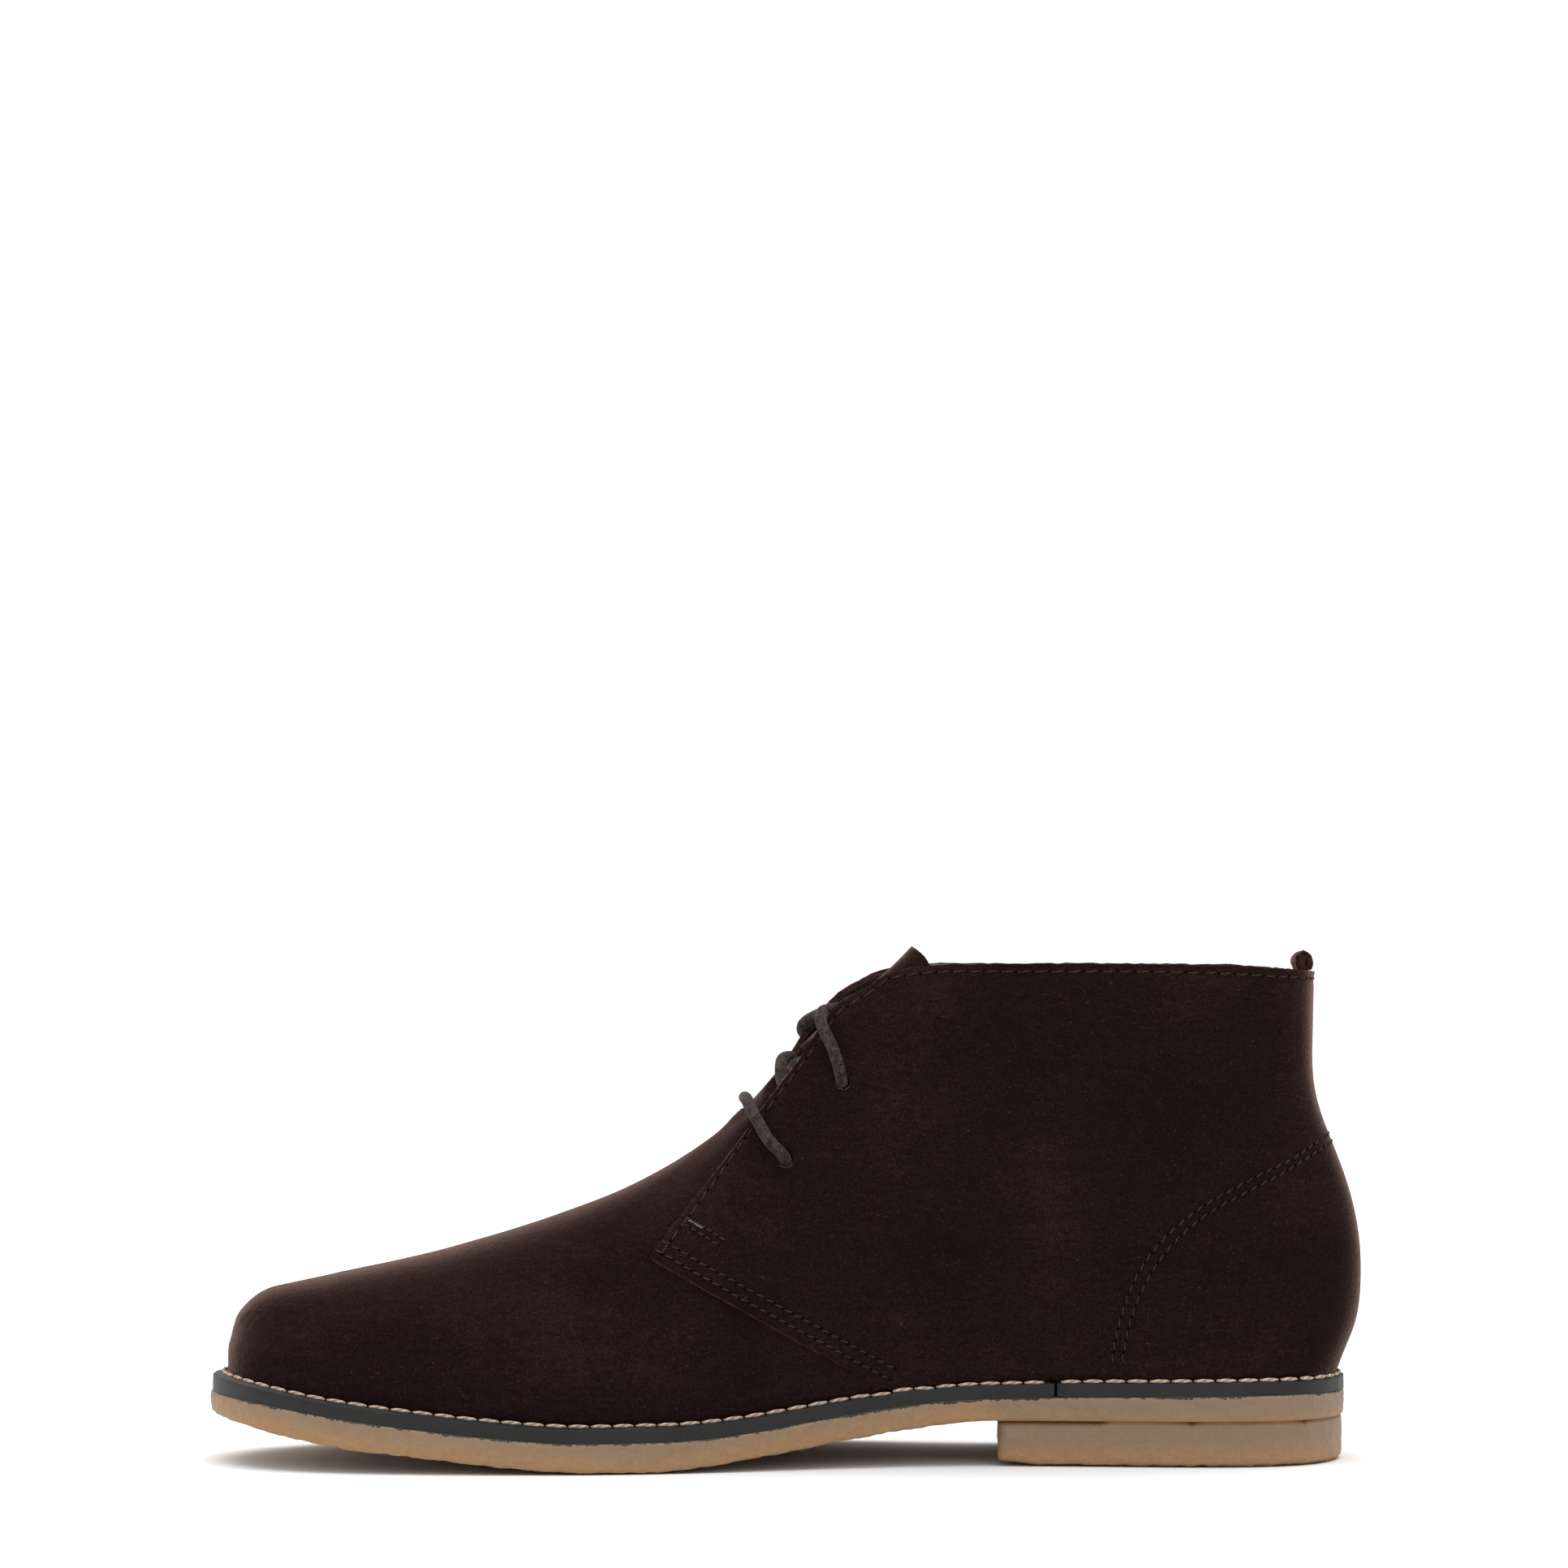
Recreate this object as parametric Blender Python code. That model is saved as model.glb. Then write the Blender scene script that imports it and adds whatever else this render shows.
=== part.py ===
"""A right desert boot: gum sole and heel, charcoal welt, suede upper, tongue, insole and round lace.

Metres, +Z up. The toe points to -X, and the inner (medial) side of the foot faces -Y. The boot
stands on the plane z = 0, with its origin in the middle of its box.
"""
import math
from bisect import bisect_right
from collections import namedtuple

import bmesh
import bpy
import numpy as np
from mathutils import Vector

# Sizes of the whole boot
SOLE_LENGTH = 0.2972
BALL_WIDTH = 0.1060
COLLAR_HEIGHT = 0.1290
COLLAR_WIDTH = 0.0700
COUNTER_OVERHANG = 0.0048
COUNTER_CURVE = 0.0122

# Sole and welt
TOE_SPRING = 0.0126
HEEL_LIFT = 0.0114
GUM_THICKNESS = 0.0080
SOLE_EDGE_ROUND = 0.0012
HEEL_EDGE_ROUND = 0.0016
HEEL_BREAST_ALONG = 0.690
HEEL_BREAST_SKEW = 0.0045
HEEL_STEP_IN = 0.0012
WELT_THICKNESS = 0.0037
WELT_LEDGE = 0.0042
WELT_TUCK = 0.0056
WELT_EDGE_ROUND = 0.0007
WELT_SET_IN = 0.0004
WELT_JOINT_ALONG = 0.735
WELT_JOINT_GAP = 0.0008

# Upper, tongue and insole
WALL = 0.0020
QUARTER_STEP = 0.0014
FLAP_WALL = 0.0015
UPPER_BULGE = 0.0016
TOE_ROUND = 0.0110
THROAT_HALF_GAP = 0.0130
TONGUE_WALL = 0.0018
TONGUE_HALF_WIDTH = 0.0250
TONGUE_SINK = 0.0050
INSOLE_THICKNESS = 0.0030

# Lace and pull loop
LACE_RADIUS = 0.00155
HOLE_RADIUS = 0.0022
LOOP_WIDTH = 0.0110
LOOP_THICKNESS = 0.0013
LOOP_HEIGHT = 0.0056
LOOP_DEPTH = 0.0055
COLLAR_BEND = 0.0010

# Gaps between pieces that touch
SEAT_GAP = 0.0003
TONGUE_GAP = 0.0006
INSOLE_GAP = 0.0007
TONGUE_FOOT_GAP = 0.0008

# Step over which a slope of the last is read
PROBE_STEP = 0.0005

INNER = -1.0
OUTER = 1.0
SIDES = (INNER, OUTER)

TOE_X = -(SOLE_LENGTH + COUNTER_OVERHANG) / 2.0
HEEL_X = TOE_X + SOLE_LENGTH

# Sections along the sole. along: share of the sole length from the toe. inner, outer: half
# breadths, shares of the ball width. spring, lift: height of the underside, shares of the toe
# spring and the heel lift. gum: share of the gum's thickness. ledge: share of the welt's ledge.
# swing: the upper's ridge line, share of the ball width. square: how boxy the upper's section is.
Section = namedtuple("Section", "along inner outer spring lift gum ledge swing square")
SECTIONS = (
    Section(0.000, 0.055, -0.055, 1.00, 0.00, 0.70, 1.00, -0.055, 2.70),
    Section(0.012, 0.215, 0.105, 0.96, 0.00, 0.73, 1.00, -0.056, 2.70),
    Section(0.036, 0.322, 0.216, 0.87, 0.00, 0.81, 1.00, -0.057, 2.68),
    Section(0.078, 0.410, 0.314, 0.66, 0.00, 0.94, 1.00, -0.060, 2.62),
    Section(0.128, 0.460, 0.382, 0.46, 0.00, 0.97, 0.98, -0.063, 2.52),
    Section(0.190, 0.489, 0.438, 0.31, 0.00, 0.93, 0.96, -0.067, 2.42),
    Section(0.260, 0.500, 0.478, 0.12, 0.00, 0.95, 0.94, -0.070, 2.32),
    Section(0.335, 0.498, 0.498, 0.00, 0.00, 0.97, 0.92, -0.068, 2.22),
    Section(0.400, 0.474, 0.500, 0.00, 0.00, 1.00, 0.88, -0.058, 2.14),
    Section(0.470, 0.424, 0.476, 0.00, 0.22, 0.88, 0.82, -0.042, 2.08),
    Section(0.540, 0.363, 0.438, 0.00, 0.52, 0.86, 0.76, -0.024, 2.05),
    Section(0.610, 0.311, 0.398, 0.00, 0.80, 0.83, 0.70, -0.010, 2.05),
    Section(0.680, 0.291, 0.366, 0.00, 1.00, 0.74, 0.65, 0.000, 2.05),
    Section(0.760, 0.300, 0.350, 0.00, 1.00, 0.80, 0.62, 0.000, 2.05),
    Section(0.840, 0.322, 0.345, 0.00, 1.00, 0.83, 0.58, 0.000, 2.05),
    Section(0.910, 0.317, 0.324, 0.00, 1.00, 0.86, 0.56, 0.000, 2.05),
    Section(0.957, 0.268, 0.270, 0.00, 1.00, 0.87, 0.55, 0.000, 2.05),
    Section(0.986, 0.170, 0.172, 0.00, 1.00, 0.87, 0.55, 0.000, 2.05),
    Section(1.000, 0.000, 0.000, 0.00, 1.00, 0.87, 0.55, 0.000, 2.05),
)

# The upper's ridge from the toe over the instep to the front of the ankle, seen from the side.
# along: share of the sole length. height: share of the collar height.
RidgePoint = namedtuple("RidgePoint", "along height")
RIDGE = (
    RidgePoint(0.0000, 0.3380),
    RidgePoint(0.0506, 0.3585),
    RidgePoint(0.1111, 0.3835),
    RidgePoint(0.1768, 0.4150),
    RidgePoint(0.2629, 0.4640),
    RidgePoint(0.3494, 0.5300),
    RidgePoint(0.4140, 0.6080),
    RidgePoint(0.4574, 0.6785),
    RidgePoint(0.4896, 0.7600),
    RidgePoint(0.5184, 0.8530),
    RidgePoint(0.5451, 0.9380),
    RidgePoint(0.5855, 1.0120),
    RidgePoint(0.6563, 1.0800),
)

# The back of the upper. height: share of the collar height. reach: share of the counter's curve,
# from the hollow over the heel to the fullest point of the counter.
BackPoint = namedtuple("BackPoint", "height reach")
BACK = (
    BackPoint(0.155, 0.38),
    BackPoint(0.203, 0.53),
    BackPoint(0.269, 0.87),
    BackPoint(0.335, 0.985),
    BackPoint(0.390, 1.00),
    BackPoint(0.467, 0.95),
    BackPoint(0.567, 0.71),
    BackPoint(0.633, 0.43),
    BackPoint(0.699, 0.155),
    BackPoint(0.765, 0.00),
    BackPoint(0.881, 0.05),
    BackPoint(1.050, 0.10),
)

# Half breadths of the upper behind the instep. height: share of the collar height. inner, outer:
# shares of the collar width.
Girth = namedtuple("Girth", "height inner outer")
GIRTHS = (
    Girth(0.190, 0.470, 0.485),
    Girth(0.350, 0.490, 0.505),
    Girth(0.465, 0.475, 0.495),
    Girth(0.580, 0.450, 0.470),
    Girth(0.700, 0.435, 0.455),
    Girth(0.815, 0.450, 0.465),
    Girth(0.915, 0.480, 0.485),
    Girth(1.000, 0.500, 0.500),
)

# The facing edges of the quarters, from the top of the vamp to the front of the collar. share: of
# the way along the sole between the two. inner, outer: breadth from the middle, share of the
# throat's half gap. The last row is the collar's own front.
FacingPoint = namedtuple("FacingPoint", "share inner outer")
FACING = (
    FacingPoint(0.00, 1.51, 1.06),
    FacingPoint(0.20, 1.32, 0.86),
    FacingPoint(0.42, 1.15, 0.70),
    FacingPoint(0.65, 1.00, 0.66),
    FacingPoint(0.85, 1.07, 0.84),
)

# The collar, from its front to the back seam. along: share of the sole length. height: share of
# the collar height. outer_rise: how much higher the outer quarter is cut, share of its step.
CollarPoint = namedtuple("CollarPoint", "along height outer_rise")
COLLAR = (
    CollarPoint(0.5969, 0.9780, 0.95),
    CollarPoint(0.6059, 0.9815, 1.05),
    CollarPoint(0.6326, 0.9935, 0.50),
    CollarPoint(0.6731, 1.0000, 0.35),
    CollarPoint(0.7472, 1.0010, 0.35),
    CollarPoint(0.8897, 0.9970, 0.20),
    CollarPoint(0.9453, 0.9910, 0.00),
    CollarPoint(1.0000, 0.9860, 0.00),
)

# Main ribs of the upper. columns: strips up to this rib. foot, belly, crown: places along the
# sole where the rib stands, bends and ends. belly_height: share of the collar height.
Rib = namedtuple("Rib", "name columns foot belly belly_height crown")
RIBS = (
    Rib("toe", 0, 0.0000, 0.0000, 0.278, 0.0000),
    Rib("vamp_top", 20, 0.4683, 0.3218, 0.400, 0.4694),
    Rib("seam", 4, 0.5946, 0.3890, 0.4155, 0.4795),
    Rib("throat", 8, 0.7462, 0.6199, 0.500, 0.5969),
    Rib("back", 18, 1.0000, 1.0000, 0.440, 1.0000),
)
BELLY_ROW = 6
ROWS = 14
FLAP_ROWS = 5
SEAM_FADE_COLUMNS = 9.0
SKIN_EASINGS = (0.50, -0.52, 0.50, -0.52, 0.50, -0.52)

# Lace holes, seen from the side, as shares of the sole length and the collar height
HolePlace = namedtuple("HolePlace", "along height")
LOWER_HOLE = HolePlace(0.5057, 0.6070)
UPPER_HOLE = HolePlace(0.5555, 0.7590)

# The tongue. along: share of its length from the vamp. inner, outer: breadths from the ridge line,
# shares of the tongue's half width. sink: depth under the last's surface, share of its sink.
TongueRow = namedtuple("TongueRow", "along inner outer sink")
TONGUE_ROWS = (
    TongueRow(0.00, 0.57, 0.64, 0.00),
    TongueRow(0.14, 0.52, 0.57, 0.06),
    TongueRow(0.28, 0.76, 0.76, 0.26),
    TongueRow(0.38, 0.94, 0.92, 0.56),
    TongueRow(0.50, 1.00, 1.00, 0.86),
    TongueRow(0.62, 1.02, 1.02, 1.00),
    TongueRow(0.75, 1.02, 1.02, 0.92),
    TongueRow(0.88, 1.00, 1.00, 0.60),
    TongueRow(1.00, 0.96, 0.96, 0.16),
)
TONGUE_TIP_ALONG = 0.6174

# Routes of the lace on the last. along: share of the sole length. breadth: from the ridge line to
# the lace hole's own breadth, as a share. off: distance off the last, in lace diameters.
RoutePoint = namedtuple("RoutePoint", "along breadth off")
BAR_ROUTE = (
    RoutePoint(0.5057, 1.00, 0.20),
    RoutePoint(0.5057, 1.00, 0.70),
    RoutePoint(0.5040, 0.97, 1.38),
    RoutePoint(0.4972, 0.94, 1.35),
    RoutePoint(0.4901, 0.82, 1.37),
    RoutePoint(0.4840, 0.66, 1.36),
    RoutePoint(0.4795, 0.43, 1.08),
    RoutePoint(0.4760, 0.20, 0.72),
    RoutePoint(0.4745, 0.00, 0.66),
)
INNER_END_ROUTE = (
    RoutePoint(0.5555, 1.00, 0.20),
    RoutePoint(0.5556, 1.00, 0.70),
    RoutePoint(0.5543, 0.96, 1.46),
    RoutePoint(0.5491, 0.81, 1.36),
    RoutePoint(0.5436, 0.64, 1.40),
    RoutePoint(0.5444, 0.49, 0.82),
    RoutePoint(0.5474, 0.43, 0.12),
    RoutePoint(0.5508, 0.38, -0.52),
)
OUTER_END_ROUTE = (
    RoutePoint(0.5555, 1.00, 0.20),
    RoutePoint(0.5555, 1.00, 0.70),
    RoutePoint(0.5525, 0.96, 1.42),
    RoutePoint(0.5426, 0.83, 1.36),
    RoutePoint(0.5341, 0.66, 1.28),
    RoutePoint(0.5302, 0.51, 1.28),
    RoutePoint(0.5297, 0.37, 1.03),
    RoutePoint(0.5311, 0.27, 0.35),
    RoutePoint(0.5332, 0.17, -0.12),
    RoutePoint(0.5350, 0.05, -0.52),
)
# The crossing: its height on the ridge as a share of the collar height, how far along the ridge
# each strand runs from one flap's edge to the other's, and its distance off the last
CROSS_HEIGHT = 0.800
CROSS_REACH = 0.0044
CROSS_OFF = 0.56


def smoothstep(value):
    value = min(1.0, max(0.0, value))
    return value * value * (3.0 - 2.0 * value)


class Track:
    """A smooth line through a table's rows, level where neighbouring rows are level."""

    def __init__(self, knots, values, level=True):
        self.knots = [float(knot) for knot in knots]
        self.values = [float(value) for value in values]
        spans = np.diff(self.knots)
        rates = np.diff(self.values) / spans
        slopes = [rates[0]]
        for before, after, left, right in zip(rates, rates[1:], spans, spans[1:]):
            if not level:
                slopes.append((before * right + after * left) / (left + right))
            elif before * after <= 0.0:
                slopes.append(0.0)
            else:
                slopes.append(2.0 * before * after / (before + after))
        slopes.append(rates[-1])
        self.slopes = slopes

    def __call__(self, at):
        knots = self.knots
        at = min(knots[-1], max(knots[0], at))
        low = min(len(knots) - 2, max(0, bisect_right(knots, at) - 1))
        span = knots[low + 1] - knots[low]
        t = (at - knots[low]) / span
        rise = t * t * (3.0 - 2.0 * t)
        value = self.values[low] * (1.0 - rise) + self.values[low + 1] * rise
        value += self.slopes[low] * span * t * (1.0 - t) ** 2
        return value - self.slopes[low + 1] * span * t * t * (1.0 - t)


def column(rows, name):
    return [getattr(row, name) for row in rows]


def along_to_x(along):
    return TOE_X + along * SOLE_LENGTH


def section_track(name):
    return Track([along_to_x(row.along) for row in SECTIONS], column(SECTIONS, name))


SPRING = section_track("spring")
LIFT = section_track("lift")
GUM = section_track("gum")
LEDGE = section_track("ledge")
SWING = section_track("swing")
SQUARE = section_track("square")


def underside(x):
    return TOE_SPRING * SPRING(x) + HEEL_LIFT * LIFT(x)


def gum_top(x):
    return underside(x) + GUM_THICKNESS * GUM(x)


def welt_top(x):
    return gum_top(x) + SEAT_GAP + WELT_THICKNESS


def feather(x):
    """Height of the upper's lower edge."""
    return welt_top(x) + SEAT_GAP


def outline_side(side, samples):
    """Plan outline of the sole down one side, from toe to heel: places and outward normals."""
    name = "inner" if side == INNER else "outer"
    places = [(along_to_x(row.along), side * BALL_WIDTH * getattr(row, name)) for row in SECTIONS]
    other = "outer" if side == INNER else "inner"
    before = (along_to_x(SECTIONS[1].along), -side * BALL_WIDTH * getattr(SECTIONS[1], other))
    after = (along_to_x(SECTIONS[-2].along), -side * BALL_WIDTH * getattr(SECTIONS[-2], other))
    places = [before] + places + [after]
    steps = [math.dist(a, b) for a, b in zip(places, places[1:])]
    travel = [0.0]
    for step in steps:
        travel.append(travel[-1] + step)
    xs = Track(travel, [place[0] for place in places], level=False)
    ys = Track(travel, [place[1] for place in places], level=False)
    start, end = travel[1], travel[-2]
    result = []
    for index in range(samples + 1):
        t = start + (end - start) * index / samples
        nudge = (end - start) * 1e-4
        dx = xs(t + nudge) - xs(t - nudge)
        dy = ys(t + nudge) - ys(t - nudge)
        length = math.hypot(dx, dy)
        normal = (-side * -dy / length, -side * dx / length)
        result.append(((xs(t), ys(t)), (-normal[0], -normal[1])))
    return result


def inset_side(side, samples, inset, ledges=0.0):
    """The outline moved inwards by inset, and by the given number of welt ledges."""
    points = []
    for (x, y), (nx, ny) in outline_side(side, samples):
        depth = inset + ledges * WELT_LEDGE * LEDGE(x)
        points.append((x - nx * depth, y - ny * depth))
    return points


FEATHER_SAMPLES = 400
FEATHER_LINES = {side: np.array(inset_side(side, FEATHER_SAMPLES, 0.0, 1.0)) for side in SIDES}
TIP_X = float(FEATHER_LINES[INNER][0][0])
BACK_X = float(FEATHER_LINES[INNER][-1][0])


FEATHER_TRAVEL = {}
for a_side, a_line in FEATHER_LINES.items():
    paces = np.hypot(*np.diff(a_line, axis=0).T)
    FEATHER_TRAVEL[a_side] = np.concatenate(([0.0], np.cumsum(paces)))


def feather_y(side, x):
    line = FEATHER_LINES[side]
    return float(np.interp(x, line[:, 0], line[:, 1]))


def mix_round(side, first, second, share):
    """Station between two others, by the distance round the feather line."""
    xs, travel = FEATHER_LINES[side][:, 0], FEATHER_TRAVEL[side]
    start, end = np.interp((first, second), xs, travel)
    return float(np.interp(start * (1.0 - share) + end * share, travel, xs))


RIDGE_X = [along_to_x(row.along) for row in RIDGE]
RIDGE_Z = [COLLAR_HEIGHT * row.height for row in RIDGE]
RIDGE_LINE = Track(RIDGE_X, RIDGE_Z)
RIDGE_BY_HEIGHT = Track(RIDGE_Z, RIDGE_X)
BACK_HOLLOW_X = HEEL_X + COUNTER_OVERHANG - COUNTER_CURVE
BACK_LINE = Track(
    [COLLAR_HEIGHT * row.height for row in BACK],
    [BACK_HOLLOW_X + COUNTER_CURVE * row.reach for row in BACK],
)
GIRTH_HEIGHTS = [COLLAR_HEIGHT * row.height for row in GIRTHS]
GIRTH_LINES = {
    INNER: Track(GIRTH_HEIGHTS, [COLLAR_WIDTH * row.inner for row in GIRTHS]),
    OUTER: Track(GIRTH_HEIGHTS, [COLLAR_WIDTH * row.outer for row in GIRTHS]),
}
COLLAR_X = [along_to_x(row.along) for row in COLLAR]
COLLAR_LINE = Track(COLLAR_X, [COLLAR_HEIGHT * row.height for row in COLLAR])
OUTER_RISE_LINE = Track(COLLAR_X, [QUARTER_STEP * row.outer_rise for row in COLLAR])

# Where the toe's rounding ends, where the heel's begins, and where the forepart's vertical
# sections hand over to the ankle's level ones
TOE_REACH_X = along_to_x(0.300)
HEEL_REACH_X = along_to_x(0.700)
FOREPART_END_X = along_to_x(0.440)
ANKLE_START_X = along_to_x(0.720)
ANKLE_BLEND_HEIGHT = 0.31 * COLLAR_HEIGHT
OVAL_SQUARE = 2.2
OVAL_LEAN = 1.30


def last_point(side, station, z):
    """Point of the last at a station of the feather line and a height, on one side."""
    low = feather(station)
    share = min(1.0, max(0.0, (z - low) / (RIDGE_LINE(station) - low)))
    square = SQUARE(station)
    profile = max(0.0, 1.0 - share ** square) ** (1.0 / square)

    x = station
    if station < TOE_REACH_X:
        front = TIP_X + TOE_ROUND * (1.0 - profile)
        x = front + (station - TIP_X) * (TOE_REACH_X - front) / (TOE_REACH_X - TIP_X)
    back = BACK_LINE(z)
    if station > HEEL_REACH_X:
        x = HEEL_REACH_X + (station - HEEL_REACH_X) * (back - HEEL_REACH_X) / (BACK_X - HEEL_REACH_X)

    edge_y = feather_y(side, station)
    bulge = UPPER_BULGE * smoothstep((station - TIP_X) / (TOE_REACH_X - TIP_X))
    fore = SWING(station) * BALL_WIDTH * (1.0 - profile) + edge_y * profile
    fore += side * bulge * math.sin(math.pi * min(1.0, share / 0.8))

    front = RIDGE_BY_HEIGHT(z)
    reach = min(1.0, max(0.0, (x - front) / (back - front)))
    oval = max(0.0, 1.0 - abs(2.0 * reach ** OVAL_LEAN - 1.0) ** OVAL_SQUARE) ** (1.0 / OVAL_SQUARE)
    rise = smoothstep((z - low) / ANKLE_BLEND_HEIGHT)
    ankle = edge_y * (1.0 - rise) + side * GIRTH_LINES[side](z) * oval * rise
    ankle += SWING(station) * BALL_WIDTH * (1.0 - oval) * rise

    hand_over = smoothstep((station - FOREPART_END_X) / (ANKLE_START_X - FOREPART_END_X))
    return Vector((x, fore * (1.0 - hand_over) + ankle * hand_over, z))


def collar_edge(side, station):
    return COLLAR_LINE(station) + (OUTER_RISE_LINE(station) if side == OUTER else 0.0)


def height_at(side, x, breadth):
    """Height at which the last is a given half breadth wide, on one side, at a place along it."""
    low, high = feather(x) + 0.4 * (RIDGE_LINE(x) - feather(x)), RIDGE_LINE(x)
    for _ in range(30):
        middle = (low + high) / 2.0
        if side * last_point(side, x, middle).y > breadth:
            low = middle
        else:
            high = middle
    return low


def facing_edge(side, share):
    """Station and height on a quarter's facing edge, from the vamp's top to the collar."""
    vamp_x, collar_x = (along_to_x(rib.crown) for rib in RIBS[2:4])
    collar_z = collar_edge(side, collar_x)
    x = vamp_x * (1.0 - share) + collar_x * share
    name = "inner" if side == INNER else "outer"
    gaps = [THROAT_HALF_GAP * getattr(row, name) for row in FACING]
    gaps.append(side * last_point(side, collar_x, collar_z).y)
    gap = Track(column(FACING, "share") + [1.0], gaps)(share)
    return x, height_at(side, x, gap)


def new_object(name, mesh_builder, material):
    mesh = bpy.data.meshes.new(name)
    mesh_builder.to_mesh(mesh)
    mesh_builder.free()
    mesh.shade_smooth()
    mesh.set_sharp_from_angle(angle=math.radians(40.0))
    mesh.materials.append(material)
    made = bpy.data.objects.new(name, mesh)
    bpy.context.scene.collection.objects.link(made)
    return made


def finish(name, color, roughness):
    material = bpy.data.materials.new(name)
    material.use_nodes = True
    shader = material.node_tree.nodes["Principled BSDF"]
    shader.inputs["Base Color"].default_value = (*color, 1.0)
    shader.inputs["Roughness"].default_value = roughness
    shader.inputs["Metallic"].default_value = 0.0
    return material


# Rings of the sole: stations per side, closer together round the toe and the heel
RING_SAMPLES = 44


def ring(inset, ledges, height):
    """Closed ring of points: down the inner side from the toe, and back up the outer side."""
    inner = inset_side(INNER, RING_SAMPLES, inset, ledges)
    outer = inset_side(OUTER, RING_SAMPLES, inset, ledges)
    plan = inner + outer[-2:0:-1]
    return [Vector((x, y, height(x))) for x, y in plan]


def add_ring(builder, points):
    return [builder.verts.new(point) for point in points]


def join_rings(builder, lower, upper, closed=True):
    count = len(lower)
    for index in range(count if closed else count - 1):
        after = (index + 1) % count
        builder.faces.new((lower[index], lower[after], upper[after], upper[index]))


def cap_ring(builder, verts):
    """Closes a ring with strips across it, from the inner side to the outer side."""
    count = len(verts)
    half = count // 2
    builder.faces.new((verts[0], verts[1], verts[count - 1]))
    for index in range(1, half - 1):
        builder.faces.new((verts[index], verts[index + 1], verts[count - index - 1], verts[count - index]))
    builder.faces.new((verts[half - 1], verts[half], verts[half + 1]))


def solid_of_rings(name, rings, material):
    builder = bmesh.new()
    made = [add_ring(builder, points) for points in rings]
    for lower, upper in zip(made, made[1:]):
        join_rings(builder, lower, upper)
    cap_ring(builder, made[0])
    cap_ring(builder, made[-1])
    bmesh.ops.recalc_face_normals(builder, faces=builder.faces)
    return new_object(name, builder, material)


def make_outsole(material):
    """Gum sole: a plate with a round lower edge, and a raised bed inside the welt."""
    bed_inset = WELT_TUCK + SEAT_GAP
    rings = (
        ring(SOLE_EDGE_ROUND, 0.0, underside),
        ring(0.3 * SOLE_EDGE_ROUND, 0.0, lambda x: underside(x) + 0.3 * SOLE_EDGE_ROUND),
        ring(0.0, 0.0, lambda x: underside(x) + SOLE_EDGE_ROUND),
        ring(0.0, 0.0, gum_top),
        ring(bed_inset, 1.0, gum_top),
        ring(bed_inset, 1.0, welt_top),
    )
    return solid_of_rings("outsole", rings, material)


def make_insole(material):
    """Insole board inside the upper, on the sole's bed and the welt."""
    inset = WALL + INSOLE_GAP
    rings = (
        ring(inset, 1.0, feather),
        ring(inset, 1.0, lambda x: feather(x) + INSOLE_THICKNESS),
    )
    return solid_of_rings("insole", rings, material)


def make_heel(material):
    """Heel lift under the seat of the outsole, cut straight across at the breast."""
    top = HEEL_LIFT - SEAT_GAP
    spare = 2.0 * HEEL_EDGE_ROUND

    def heel_ring(inset, height):
        points = []
        for side in SIDES:
            breast_x = along_to_x(HEEL_BREAST_ALONG)
            if side == OUTER:
                breast_x += HEEL_BREAST_SKEW
            line = inset_side(side, RING_SAMPLES, HEEL_STEP_IN + inset)
            plain = inset_side(side, RING_SAMPLES, 0.0)
            start = next(i for i, point in enumerate(plain) if point[0] > breast_x + spare)
            line = line[start:]
            edge = inset_side(side, FEATHER_SAMPLES, HEEL_STEP_IN + inset)
            xs = [point[0] for point in edge]
            ys = [point[1] for point in edge]
            corner = (breast_x + inset, float(np.interp(breast_x + inset, xs, ys)))
            points.append([corner] + line)
        plan = points[0] + points[1][-2::-1]
        return [Vector((x, y, height)) for x, y in plan]

    builder = bmesh.new()
    rings = [
        heel_ring(HEEL_EDGE_ROUND, 0.0),
        heel_ring(0.3 * HEEL_EDGE_ROUND, 0.3 * HEEL_EDGE_ROUND),
        heel_ring(0.0, HEEL_EDGE_ROUND),
        heel_ring(0.0, top),
    ]
    made = [add_ring(builder, points) for points in rings]
    for lower, upper in zip(made, made[1:]):
        join_rings(builder, lower, upper)
    builder.faces.new(made[0])
    builder.faces.new(made[-1])
    bmesh.ops.recalc_face_normals(builder, faces=builder.faces)
    return new_object("heel_block", builder, material)


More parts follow.
